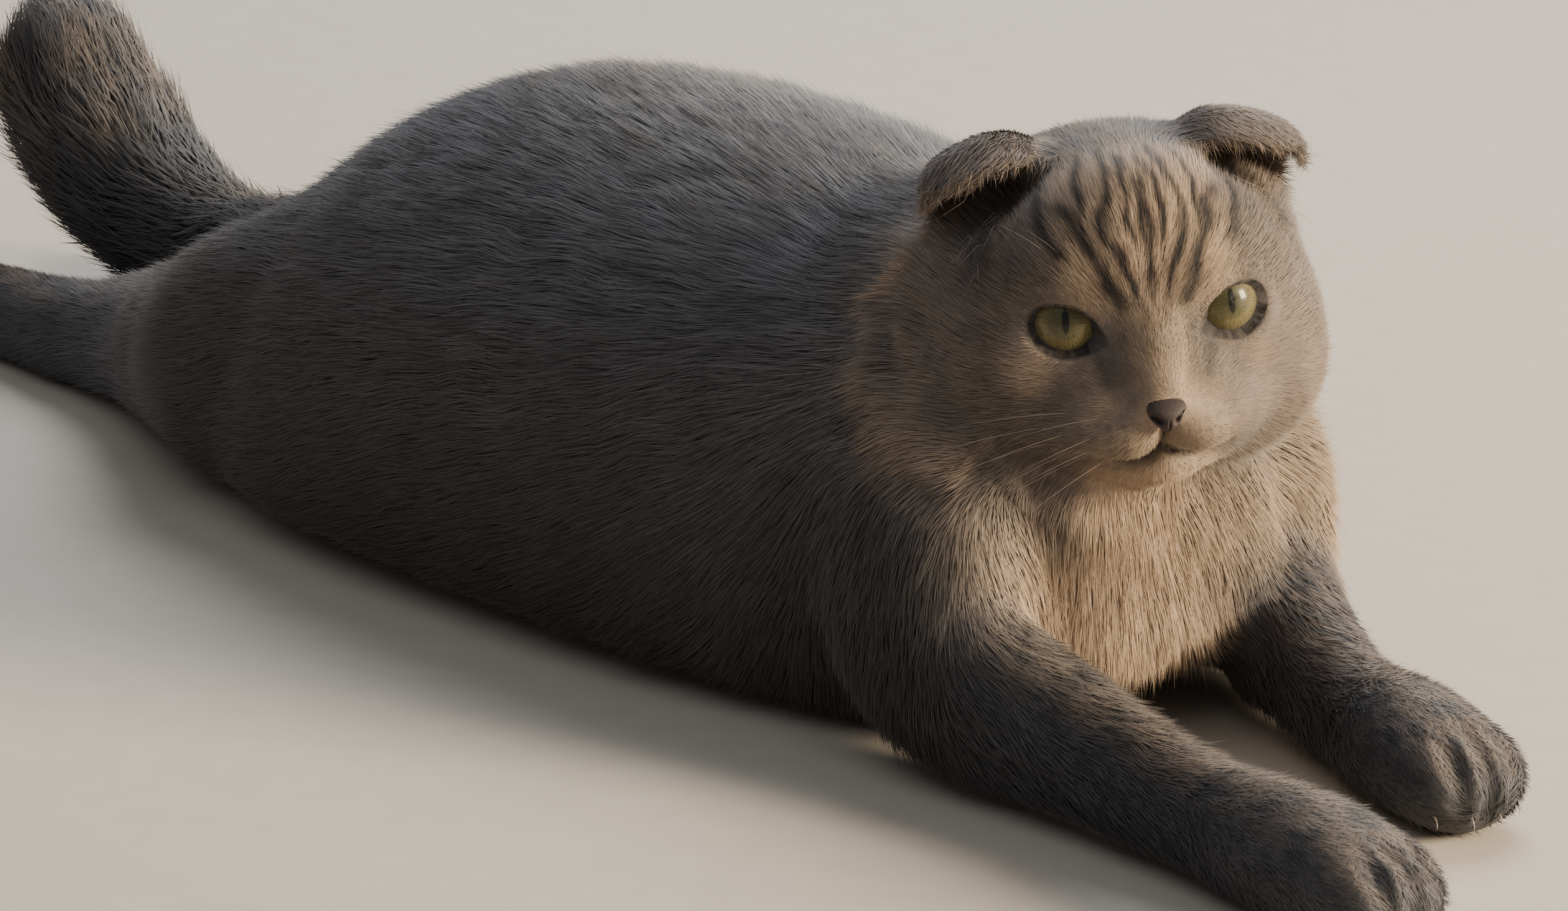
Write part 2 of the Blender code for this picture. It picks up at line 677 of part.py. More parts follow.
def main():
    clear_scene()
    cat = whole_cat()
    fine = decimated(cat, "fine_cat", HEAD_TRIANGLES)
    middling = decimated(fine, "middling_cat", FOOT_TRIANGLES)
    coarse = decimated(middling, "coarse_cat", BODY_TRIANGLES)
    remove(cat)
    parts = part_body(coarse)
    for name, (x, y) in FEET.items():
        parts[name] = taken_between(middling, name, x, y)
    remove(middling)
    clearance = grown(fine, GAP)
    parts["head"] = part_head(fine)
    remove(fine)
    for side, word in ((-1, "right"), (1, "left")):
        parts[word + "_eye"] = eyeball(side)
        ear = ear_flap(side, word + "_ear")
        cut(ear, copy_of(clearance, "cutter"), "DIFFERENCE")
        parts[word + "_ear"] = ear
    nose = nose_leather()
    parts["nose"] = cut(nose, copy_of(clearance, "cutter"), "DIFFERENCE")
    remove(clearance)
    coat = material("coat", COAT_BLUE, 0.9)
    eye = material("eye", EYE_GREEN, 0.1)
    leather = material("nose_leather", NOSE_SLATE, 0.5)
    for name, obj in parts.items():
        obj.name = obj.data.name = name
        largest_body(obj)
        obj.data.materials.clear()
        obj.data.materials.append(eye if "eye" in name else leather if name == "nose" else coat)
    bpy.context.view_layer.update()
    corners = np.vstack([points_of(obj.data) for obj in parts.values()])
    low, high = corners.min(axis=0), corners.max(axis=0)
    shift = np.array((-(low[0] + high[0]) / 2, -(low[1] + high[1]) / 2, -low[2]))
    for obj in parts.values():
        points = points_of(obj.data) + shift
        points[points[:, 2] < FLAT_BAND, 2] = 0
        set_points(obj.data, points)


main()
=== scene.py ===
"""The looks of a blue fold-eared cat lying on its belly: skin, short plush coat, eyes, nose, whiskers and claws.

+Z up, nose towards +X, the cat's left side towards +Y. Sizes are in metres and colours are linear. Angles are in
degrees, and so is every number that says so.
"""

import math

import bmesh
import bpy
import numpy as np
from mathutils import Matrix, Vector
from mathutils.kdtree import KDTree


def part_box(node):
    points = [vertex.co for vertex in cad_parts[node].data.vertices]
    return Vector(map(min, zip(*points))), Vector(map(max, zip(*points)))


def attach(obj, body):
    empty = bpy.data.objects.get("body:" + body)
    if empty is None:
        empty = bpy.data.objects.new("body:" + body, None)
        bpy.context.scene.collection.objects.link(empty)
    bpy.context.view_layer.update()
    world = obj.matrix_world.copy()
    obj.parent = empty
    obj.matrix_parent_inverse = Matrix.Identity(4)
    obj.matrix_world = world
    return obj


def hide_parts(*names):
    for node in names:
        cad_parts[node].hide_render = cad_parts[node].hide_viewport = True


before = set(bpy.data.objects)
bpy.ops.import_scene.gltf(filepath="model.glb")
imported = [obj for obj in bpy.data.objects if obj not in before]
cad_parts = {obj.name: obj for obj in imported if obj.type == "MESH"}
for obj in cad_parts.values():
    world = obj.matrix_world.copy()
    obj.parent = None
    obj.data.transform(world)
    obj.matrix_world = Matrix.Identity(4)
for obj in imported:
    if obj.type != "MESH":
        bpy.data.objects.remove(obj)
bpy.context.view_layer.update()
rng = np.random.default_rng(29)

# ---------------------------------------------------------------- sizes
HEAD_YAW, HEAD_PITCH, HEAD_ROLL = -33, 2, 7  # degrees: to the cat's right, nose down, right ear down
EYE_RADIUS = 0.0116
EYE_FORWARD = 0.0288
EYE_TURN_OUT = 16  # degrees
EYE_SLANT = 17  # degrees, outer corner up
EYE_OPENING = (0.0106, 0.0080)  # half length and half height between the lids
GAZE_OUT, GAZE_TURN, GAZE_UP = 9, -1.8, 15  # degrees
NOSE_AT = (0.0562, 0, -0.0240)
NOSE_HALF = (0.0050, 0.0054, 0.0052)
MOUTH_CORNER = (0.037, 0.0235, -0.0425)  # on the left, where the solids have a pit that the coat fills
FLESH_GROWN = 0.00035  # closes the thin cuts between the solids
SKIN_VOXEL = 0.0014
SKIN_TRIANGLES = 170000

# For each part of the body: how deep the coat is, how long and wide its tufts are, how steeply they rise (degrees at
# the root and at the tip) and how many there are on a square centimetre, before all are scaled to COAT_TRIANGLES.
DEEP, LONG, WIDE, RISE, TIP_RISE, DENSE = range(6)
COAT = {
    "trunk": (0.0042, 0.0150, 0.00068, 21, 5, 88),
    "chest": (0.0050, 0.0160, 0.00056, 25, 7, 150),
    "neck": (0.0046, 0.0140, 0.00058, 24, 7, 125),
    "thigh": (0.0040, 0.0140, 0.00070, 21, 5, 74),
    "shank": (0.0028, 0.0100, 0.00064, 20, 5, 64),
    "arm": (0.0034, 0.0125, 0.00068, 22, 6, 78),
    "forearm": (0.0024, 0.0092, 0.00054, 25, 9, 100),
    "paw": (0.0013, 0.0054, 0.00048, 24, 8, 96),
    "tail": (0.0084, 0.0200, 0.00086, 32, 10, 58),
    "head": (0.0024, 0.0070, 0.00044, 21, 5, 240),
    "face": (0.0008, 0.0024, 0.00031, 17, 4, 520),
    "ear": (0.0006, 0.0070, 0.00044, 15, 2, 210),
}
COAT_PIECES = {
    "coat_back": ("trunk",),
    "coat_chest": ("chest", "neck"),
    "coat_thighs": ("thigh", "arm"),
    "coat_tail": ("tail",),
    "coat_head": ("head", "ear"),
    "coat_legs": ("forearm", "shank", "paw"),
}
COAT_TRIANGLES = 1480000
PIECE_TRIANGLES = 190000
BENT = ("tail",)  # parts whose tufts rise and bend over; the others lie straight
LOCK_SHARE = 1 / 9  # of the tufts, each the middle of a lock that its neighbours lean to
GUARD_SHARE = 0.04  # of the tufts, longer, thinner and paler than the rest
FLOOR_GAP = 0.0002
WHISKER = 0.00009  # radius at the root
EAR_HAIRS = 300  # in each ear
EAR_FRINGE = 560  # along the front edge of each ear

# Which row of COAT each solid has.
SIDES = (("left", 1), ("right", -1))
ON_BOTH_SIDES = {
    "ear": "ear",
    "upper_foreleg": "arm",
    "forearm": "forearm",
    "forepaw": "paw",
    "thigh": "thigh",
    "shank": "shank",
    "hind_foot": "paw",
}
PART_OF = {"belly": "trunk", "rump": "trunk", "chest": "chest", "neck": "neck", "head": "head"}
PART_OF.update({"tail_" + word: "tail" for word in ("root", "middle", "tip")})
PART_OF.update({side + name: part for side in ("left_", "right_") for name, part in ON_BOTH_SIDES.items()})
FLESH = sorted(PART_OF)

# The coat is a mid taupe grey, bluer on the back and legs and warmer on the face and chest.
TAUPE = np.array((0.180, 0.145, 0.122))
GREY = np.array((0.108, 0.098, 0.094))
SLATE = np.array((0.048, 0.047, 0.052))
BLUE = np.array((0.086, 0.089, 0.102))
WARM = np.array((0.360, 0.262, 0.182))
LINE = np.array((0.030, 0.026, 0.025))
LIP = np.array((0.020, 0.016, 0.016))


def mm(path):
    """Places given in millimetres."""
    return np.array(path, float) / 1000


# Lines of the face in the head's frame. Those of the mouth are across and up only, and the ear is the left one.
MOUTH = mm(((0, -37.2), (4.5, -40.2), (10.5, -41.8), (17.5, -41.6), (24, -39.5)))
LIP_CLEFT = mm(((0, -28.5), (0, -37.5)))
EAR_EDGE = mm(((4, 17, 37.5), (7, 32, 41.8), (8, 45, 39.2), (4, 56, 34.8), (-2, 58, 28.5)))
RUFF = (  # the folds of the ruff round the right cheek and under the jaw
    mm(((-17, -56, 13), (-30, -74, -6), (-13, -81, -22), (13, -79, -36), (31, -73, -45))),
    mm(((-6, -67, -12), (1, -70, -21), (15, -68, -30), (30, -57, -41))),
    mm(((22, -8, -60), (26, -24, -54), (25, -38, -47), (18, -50, -34), (6, -57, -18))),
)
BROW_LINES = (  # the dark lines of the brow on both sides, each with its half width
    (mm(((30, 0, 40), (38, 0, 34), (43, 0.5, 26), (45, 0, 18), (47, 0, 2))), 0.0015),
    (mm(((12, 7, 45), (26, 8, 41), (36, 12, 34), (41, 12, 28), (44, 9, 23), (46, 6, 14), (47, 4, 2))), 0.0015),
    (mm(((28, 23, 34), (33, 21, 32), (39, 18, 26), (43, 14, 20), (45, 12, 13), (46, 9, 7))), 0.0025),
    (mm(((12, 14, 44), (24, 16.5, 40), (33, 17.5, 34), (38, 17, 28))), 0.0012),
    (mm(((18, 3, 45), (30, 4, 40), (38, 5.5, 33), (42, 4.5, 26))), 0.0011),
    (mm(((10, 24, 41), (20, 29, 35), (30, 28, 28), (36, 25, 22))), 0.0018),
)
CREASES = (  # creases of the face on both sides, each with its half width and depth
    (mm(((52, 7.5, -16), (50, 12, -21.5), (46, 18, -24.5))), 0.0022, 0.0011),
    (mm(((47, 10.5, -2), (49, 9.5, -10), (52, 8, -17))), 0.0022, 0.0011),
    (mm(((44, 6, -47), (40, 13, -46), (36, 18, -44.5))), 0.0020, 0.0005),
)
# Each paw: the last two stations of its leg, in the frame of the whole model.
PAWS = {
    "right_forepaw": mm(((339, -82, 21.5), (366, -83, 19))),
    "left_forepaw": mm(((289, 15, 21.5), (314, 10, 19))),
    "right_hind_foot": mm(((-335, -42, 18), (-374, -43, 16))),
    "left_hind_foot": mm(((-333, 69, 18), (-371, 70, 15.5))),
}
TOE_CLEFTS = (-0.0092, 0.0, 0.0092)
TOES = (-0.0138, -0.0046, 0.0046, 0.0138)


# ---------------------------------------------------------------- small helpers
def deselect():
    if bpy.context.mode != "OBJECT":
        bpy.ops.object.mode_set(mode="OBJECT")
    bpy.ops.object.select_all(action="DESELECT")


def only(obj):
    deselect()
    obj.select_set(True)
    bpy.context.view_layer.objects.active = obj


def added(name):
    """The object that an operator has just added, renamed."""
    obj = bpy.context.view_layer.objects.active
    obj.name = obj.data.name = name
    return obj


def linked(name, data):
    """A new object in the scene."""
    obj = bpy.data.objects.new(name, data)
    bpy.context.scene.collection.objects.link(obj)
    return obj


def merged(objects, name):
    """The objects joined into one."""
    deselect()
    for obj in objects:
        obj.select_set(True)
    bpy.context.view_layer.objects.active = objects[0]
    bpy.ops.object.join()
    return added(name)


def modified(obj, kind, **settings):
    """Adds a modifier and applies it."""
    only(obj)
    modifier = obj.modifiers.new(kind.title(), kind)
    for name, value in settings.items():
        setattr(modifier, name, value)
    bpy.ops.object.modifier_apply(modifier=modifier.name)


def finished(obj, material):
    """The object with smooth shading and one material."""
    obj.data.materials.clear()
    obj.data.materials.append(material)
    only(obj)
    bpy.ops.object.shade_smooth()
    return obj


def read(items, name, width, kind=np.float32):
    """One property of all items of a mesh, a row for each."""
    out = np.empty(len(items) * width, kind)
    items.foreach_get(name, out)
    return out.reshape(-1, width)


def points_of(mesh):
    return read(mesh.vertices, "co", 3).astype(float)


def set_points(mesh, points):
    mesh.vertices.foreach_set("co", np.asarray(points, np.float32).ravel())
    mesh.update()


def normals_of(mesh):
    return read(mesh.vertex_normals, "vector", 3).astype(float)


def edges_of(mesh):
    return read(mesh.edges, "vertices", 2, np.int32)


def set_colours(mesh, colours):
    """Gives each point of a mesh its own colour, in the attribute that the fur's materials read."""
    layer = mesh.color_attributes.new("coat", "FLOAT_COLOR", "POINT")
    layer.data.foreach_set("color", np.column_stack([colours, np.ones(len(colours))]).astype(np.float32).ravel())


def unit(vectors):
    return vectors / np.maximum(np.linalg.norm(vectors, axis=-1, keepdims=True), 1e-12)


def away(points, place=(0, 0, 0)):
    """How far points are from a place."""
    return np.linalg.norm(points - np.array(place), axis=1)


def averaged(values, edges, share, rounds):
    """Each point's values moved by its share of the way to the middle of its neighbours', round after round."""
    share = np.broadcast_to(share, len(values))[:, None]
    count = np.maximum(np.bincount(edges.ravel(), minlength=len(values)), 1)
    for _ in range(rounds):
        middle = np.empty_like(values)
        for k in range(values.shape[1]):
            column = values[:, k]
            middle[:, k] = np.bincount(edges[:, 0], column[edges[:, 1]], len(values))
            middle[:, k] += np.bincount(edges[:, 1], column[edges[:, 0]], len(values))
        values = values + share * (middle / count[:, None] - values)
    return values


def waves(points, size, seed):
    """A smooth field of about -1 to 1 that wanders over the given size."""
    own, count = np.random.default_rng(seed), 14
    ways = unit(own.normal(size=(count, 3))) * own.uniform(0.6, 1.6, (count, 1)) * 2 * math.pi / size
    turn = own.uniform(0, 2 * math.pi, count)
    return np.sin(points @ ways.T + turn).sum(axis=1) / math.sqrt(count) * 0.9


def step(values, low, high):
    """0 up to low and 1 from high on, with a soft rise between them."""
    t = np.clip((values - low) / (high - low), 0, 1)
    return t * t * (3 - 2 * t)


def fall(values, low, high):
    """1 up to low and 0 from high on."""
    return 1 - step(values, low, high)


def bell(values, width):
    """1 where a value is 0, fading away to both sides over about the width."""
    return np.exp(-((values / width) ** 2))


def nearest_place(points, places):
    """The number of the place that each point is nearest to."""
    tree = KDTree(len(places))
    for k, place in enumerate(places):
        tree.insert(place, k)
    tree.balance()
    return np.array([tree.find(point)[1] for point in points])


# ---------------------------------------------------------------- the head's frame
def turned(degrees, axis):
    return Matrix.Rotation(math.radians(degrees), 4, axis)


def centre_of(node):
    low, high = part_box(node)
    return (low + high) / 2


HEAD_TURN = turned(HEAD_YAW, "Z") @ turned(HEAD_PITCH, "Y") @ turned(HEAD_ROLL, "X")
EYES_MIDDLE = (centre_of("left_eye") + centre_of("right_eye")) / 2
EYE_APART = (centre_of("left_eye") - centre_of("right_eye")).length / 2
HEAD = Matrix.Translation(EYES_MIDDLE) @ HEAD_TURN @ Matrix.Translation((-EYE_FORWARD, 0, 0))
MODEL_SHIFT = HEAD.translation - Vector((0.190, -0.017, 0.148))


def eye_frame(side):
    """The frame of an eyeball, X out through the pupil and Y along the opening between the lids."""
    place = Matrix.Translation((EYE_FORWARD, side * EYE_APART, 0))
    return HEAD @ place @ turned(side * EYE_TURN_OUT, "Z") @ turned(side * EYE_SLANT, "X")


def in_frame(points, place):
    inverse = np.array(place.inverted())
    return points @ inverse[:3, :3].T + inverse[:3, 3]


def out_of_frame(points, place):
    own = np.array(place)
    return points @ own[:3, :3].T + own[:3, 3]


def on_left(own):
    """Points of the head's frame, those of its right side mirrored to its left."""
    return own * (1, 0, 1) + np.abs(own) * (0, 1, 0)


def path_distance(points, path):
    path = np.array(path, float)
    nearest = np.full(len(points), np.inf)
    for a, b in zip(path[:-1], path[1:]):
        along = b - a
        t = np.clip((points - a) @ along / (along @ along), 0, 1)
        nearest = np.minimum(nearest, np.linalg.norm(points - a - t[:, None] * along, axis=1))
    return nearest


def bearing_distance(own, path):
    """How far points are from a path on the outline of the coat above them, as seen from the head's middle."""
    far = np.linalg.norm(path, axis=1).mean()
    out = away(own) / far
    return path_distance(unit(own) * far, unit(path) * far) + 0.1 * ((out < 0.75) | (out > 1.15))


def round_eye(own, side):
    """How far out points of an eye's frame are from the middle of its opening: 1 on the edge of the lids."""
    a, b = EYE_OPENING
    inner = np.clip(-side * own[:, 1] / a, 0, 1.4)
    across = own[:, 1] / (a * (1 + 0.16 * inner))
    up = own[:, 2] / (b * (1 - 0.26 * np.minimum(inner, 1.2) ** 2))
    return np.sqrt(across**2 + up**2)


def face_lines(own):
    """How far points of the head's frame are from the line of the mouth, on the front of the face."""
    flat = np.column_stack([np.abs(own[:, 1]), own[:, 2]])
    far = np.minimum(path_distance(flat, MOUTH), path_distance(flat, LIP_CLEFT) + 0.0003)
    return far + 0.05 * (own[:, 0] < 0.022)


def ruff_folds(own):
    """How far points of the head's frame are from the folds of the ruff, which are on both sides."""
    return np.min([bearing_distance(on_left(own) * (1, -1, 1), path) for path in RUFF], axis=0)


def paw_place(name):
    """Where a paw ends, the way that it points and the way across it."""
    back, tip = (Vector(p) + MODEL_SHIFT for p in PAWS[name])
    forward = (tip - back).normalized()
    return tip, forward, Vector((0, 0, 1)).cross(forward).normalized()


def toe_lines(points):
    """How far points are from the clefts between the toes."""
    nearest = np.full(len(points), 1.0)
    for name in PAWS:
        tip, forward, across = paw_place(name)
        for spread in TOE_CLEFTS:
            start = tip + forward * -0.002 + across * spread * 0.96 + Vector((0, 0, 0.020))
            front = tip + forward * 0.018 + across * spread * 1.28 + Vector((0, 0, 0.006))
            nearest = np.minimum(nearest, path_distance(points, (start, front, front - Vector((0, 0, 0.030)))))
    return nearest


# ---------------------------------------------------------------- skin
def grown_copy(name):
    """A closed copy of a solid, moved outwards a little so that it runs into its neighbours."""
    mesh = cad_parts[name].data.copy()
    bm = bmesh.new()
    bm.from_mesh(mesh)
    bmesh.ops.remove_doubles(bm, verts=bm.verts, dist=0.00001)
    bm.normal_update()
    for v in bm.verts:
        v.co += v.normal * FLESH_GROWN
    bm.to_mesh(mesh)
    bm.free()
    return linked("flesh", mesh)


def coat_parts(points):
    """Which of the solids under the coat each point is nearest to."""
    solids = [points_of(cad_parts[name].data) for name in FLESH]
    number = np.repeat(np.arange(len(FLESH)), [len(own) for own in solids])
    return number[nearest_place(points, np.vstack(solids))]


def coat_shares(index, edges):
    """How much each point belongs to each solid, softened where they meet."""
    one = np.zeros((len(index), len(FLESH)))
    one[np.arange(len(index)), index] = 1
    return averaged(one, edges, 0.6, 40)


def share_of(shares, *names):
    """How much each point belongs to the named solids."""
    return shares[:, [FLESH.index(name) for name in names]].sum(axis=1)


def both(*parts):
    return [side + "_" + part for part in parts for side in ("left", "right")]


def flesh():
    """One closed surface round all the flesh, as smooth as the coat."""
    skin = merged([grown_copy(name) for name in FLESH + ["left_eye", "right_eye"]], "skin")
    modified(skin, "REMESH", mode="VOXEL", voxel_size=SKIN_VOXEL)
    return skin


def whole_surface(skin):
    """Drops the loose surfaces that the fusing leaves inside."""
    edges = edges_of(skin.data)
    label = np.arange(len(skin.data.vertices))
    while True:
        low = label.copy()
        np.minimum.at(low, edges[:, 0], label[edges[:, 1]])
        np.minimum.at(low, edges[:, 1], label[edges[:, 0]])
        low = low[low]
        if (low == label).all():
            break
        label = low
    loose = np.nonzero(label != np.bincount(label).argmax())[0]
    bm = bmesh.new()
    bm.from_mesh(skin.data)
    bm.verts.ensure_lookup_table()
    bmesh.ops.delete(bm, geom=[bm.verts[i] for i in loose], context="VERTS")
    bm.to_mesh(skin.data)
    bm.free()


def sink_skin(skin):
    """Moves the skin in from the outline of the coat by the coat's depth."""
    points, edges = points_of(skin.data), edges_of(skin.data)
    own = in_frame(points, HEAD)
    ahead, far = own[:, 0], away(own)
    index = coat_parts(points)
    ears = np.isin(index, [FLESH.index(name) for name in both("ear")])
    feet = np.isin(index, [FLESH.index(name) for name in PAWS])
    face = step(ahead, 0.0, 0.018) * (far < 0.075) * step(own[:, 2], -0.060, -0.046)
    fine = np.maximum(face, 0.75 * feet)
    points = averaged(points, edges, 0.55 * (1 - 0.9 * fine), 14)
    points = averaged(points, edges, 0.6 * bell(away(on_left(own), MOUTH_CORNER), 0.0065), 80)
    set_points(skin.data, points)
    depth = np.array([COAT[PART_OF[name]][DEEP] for name in FLESH])[index]
    depth = depth + (COAT["face"][DEEP] - depth) * step(ahead, 0.000, 0.026) * (far < 0.08)
    depth = averaged(depth[:, None], edges, np.where(ears, 0.12, 0.6), 60)
    stages = 4
    for _ in range(stages):
        points = points_of(skin.data) - normals_of(skin.data) * (depth / stages)
        points = averaged(points, edges, 0.35 * (1 - face) * ~ears * ~feet, 2)
        set_points(skin.data, points)


def press_face(points, normals):
    """Draws the mouth and the cleft of the lip into the face, raises the ruff's folds and parts the toes."""
    own = in_frame(points, HEAD)
    ahead, aside = own[:, 0], own[:, 1]

    def press(depth):
        points[:] = points - normals * depth[:, None]

    press(0.0015 * (step(ahead, 0.020, 0.028) * fall(np.abs(aside), 0.009, 0.018)) * bell(face_lines(own), 0.0011))
    for path, width, depth in CREASES:
        press(depth * bell(bearing_distance(on_left(own), path), width))
    fold = ruff_folds(own)
    strong = 1 - 0.55 * step(aside, 0.0, 0.02)
    press(-0.0020 * strong * bell(fold, 0.0034))
    press(0.0014 * strong * (step(ahead, -0.016, -0.004) * (ahead < 0.010) * bell(fold - 0.0080, 0.0040)))
    press(0.0013 * bell(toe_lines(points), 0.0017))
    return points


def open_lids(points):
    """Lets the eyeball through the skin and lays the lids round it."""
    for side in (1, -1):
        place = eye_frame(side)
        own = in_frame(points, place)
        far, out = away(own), round_eye(own, side)
        near = (own[:, 0] > 0) & (far < 0.026)
        inside = near & (out < 1.0)
        lid = near & (out >= 1.0) & (out < 2.2)
        target = far.copy()
        target[inside] = EYE_RADIUS - 0.0012
        rise = EYE_RADIUS + 0.0004 + 0.0011 * step(out, 1.0, 1.25) - 0.0012 * step(out, 1.5, 2.2)
        target[lid] = np.maximum(far[lid], rise[lid])
        moved = own * (target / np.maximum(far, 1e-9))[:, None]
        points = np.where((inside | lid)[:, None], out_of_frame(moved, place), points)
    return points


def thin_skin(skin):
    """Leaves the face fine and the rest of the skin in larger triangles."""
    points = points_of(skin.data)
    weight = fall(away(in_frame(points, HEAD), (0.02, 0, 0)), 0.050, 0.075)
    for name in PAWS:
        weight = np.maximum(weight, 0.6 * fall(away(points, paw_place(name)[0]), 0.024, 0.040))
    group = skin.vertex_groups.new(name="rest")
    levels = 8
    rounded = np.round((1 - weight) * levels).astype(int)
    for value in range(levels + 1):
        group.add(np.nonzero(rounded == value)[0].tolist(), value / levels, "REPLACE")
    modified(skin, "TRIANGULATE")
    ratio = min(1.0, SKIN_TRIANGLES / len(skin.data.polygons))
    modified(skin, "DECIMATE", ratio=ratio, vertex_group=group.name, vertex_group_factor=1.0)
    skin.vertex_groups.clear()


def unfold(skin):
    """Unfolds the skin onto a flat map, which places each tuft's own patch."""
    only(skin)
    skin.data.uv_layers.new(name="OFBake")
    bpy.ops.object.mode_set(mode="EDIT")
    bpy.ops.mesh.select_all(action="SELECT")
    bpy.ops.uv.smart_project(angle_limit=math.radians(66), island_margin=0.002)
    bpy.ops.object.mode_set(mode="OBJECT")


# ---------------------------------------------------------------- lie of the coat
def lie_of(points, normals, index):
    """The way the coat lies at each point of the skin."""
    own = in_frame(points, HEAD)
    turn = np.array(HEAD_TURN)[:3, :3].T
    names = np.array(FLESH)[index]
    way = np.column_stack([-np.ones(len(points)), 0.05 * np.sign(points[:, 1]), -0.42 * np.abs(normals[:, 1])])
    centre = {name: np.array(centre_of(name)) for name in FLESH}
    for side, sign in SIDES:
        at = {part: centre[side + "_" + part] for part in ON_BOTH_SIDES}
        fore, hind = unit(at["forepaw"] - at["forearm"]), unit(at["hind_foot"] - at["shank"])
        ways = {
            "upper_foreleg": unit(at["forearm"] - at["upper_foreleg"]) * 0.5 + (-0.30, 0, -0.75),
            "forearm": fore,
            "forepaw": fore,
            "shank": hind,
            "hind_foot": hind,
            "ear": np.array((0.9, 0.35 * sign, -0.35)) @ turn,
        }
        for part, direction in ways.items():
            way[names == side + "_" + part] = direction
    throat = np.array(HEAD @ Vector((0.014, 0, -0.020)))
    fan = unit(points - throat) + (0.15, 0, -0.55)
    front = step(normals[:, 0], -0.1, 0.5) * np.isin(names, ["chest", "left_upper_foreleg", "neck"])
    way += front[:, None] * (fan - way)
    neck = (names == "neck") & (front < 0.3)
    way[neck] = (unit(own - (0.055, 0, 0.03)) @ turn + (-0.25, 0, -0.55))[neck]
    face = names == "head"
    way[face] = (unit(own - (0.060, 0, -0.022)) @ turn)[face]
    way[names == "tail_middle"] = unit(centre["tail_tip"] - centre["tail_root"])
    way[names == "tail_tip"] = unit(centre["tail_tip"] - centre["tail_middle"])
    return unit(way)


def round_the_eyes(way, points):
    """Turns the coat's lie away from each eye near its lids."""
    for side in (1, -1):
        place = eye_frame(side)
        own = in_frame(points, place)
        near = bell(round_eye(own, side) - 1, 0.45) * (own[:, 0] > 0) * (away(own) < 0.03)
        outwards = unit(own * (0, 1, 1.5)) @ np.array(place)[:3, :3].T
        way = way + (1.3 * near)[:, None] * outwards
    return unit(way)


def along_surface(way, normals):
    return unit(way - (way * normals).sum(axis=1)[:, None] * normals)


# ---------------------------------------------------------------- markings
def coat_colour(points, normals, shares):
    """The coat's colour at points on it: its own markings together with painted light and shade."""
    own = in_frame(points, HEAD)
    broad = waves(points, 0.075, 3)
    patch = waves(points * (1, 1.4, 1.4), 0.022, 5)
    fine = waves(points * (0.6, 1.5, 1.5), 0.006, 8)
    headed = share_of(shares, "head", *both("ear"))
    neck = share_of(shares, "neck")
    bodied = np.clip(1 - headed - 0.35 * neck, 0, 1)[:, None]
    colour = (TAUPE + bodied * (GREY - TAUPE)) * (1 + 0.07 * broad + 0.10 * patch + 0.07 * fine)[:, None]

    def towards(target, share):
        """Moves the colour towards another one by a share of the way."""
        colour[:] = colour + np.clip(share, 0, 1)[:, None] * (target - colour)

    body = 1 - headed - 0.6 * neck
    mark_body_with_light_and_shade(towards, points, normals, shares, body, patch, fine)
    paint_ruff_shade_and_light(towards, own, np.clip(neck + headed, 0, 1))
    head = step(0.085 - away(own), 0.0, 0.02)
    mark_head_with_light_and_shade(towards, own, head, patch)
    for side in (1, -1):
        mark_eye_with_light(towards, in_frame(points, eye_frame(side)), side, head)
    wide = np.abs(own[:, 1])
    mouth = face_lines(own) + 0.0008 * step(wide, 0.006, 0.016)
    towards(LIP, head * 0.95 * bell(mouth, 0.0013) * fall(wide, 0.009, 0.017))
    # Painted shade: the head fur in the hollow under each ear flap is darkened to slate.
    under_ear_shade = fall(away((on_left(own) - (0.002, 0.040, 0.033)) / (0.016, 0.017, 0.010)), 0.75, 1.15)
    towards(SLATE * 0.9, 0.7 * under_ear_shade * share_of(shares, "head"))
    towards(TAUPE * 1.15, 0.7 * share_of(shares, *both("ear")))
    # Painted shade in the clefts between the toes.
    towards(SLATE * 0.6, 0.38 * bell(toe_lines(points), 0.0015))
    return np.clip(colour, 0.008, 0.8)


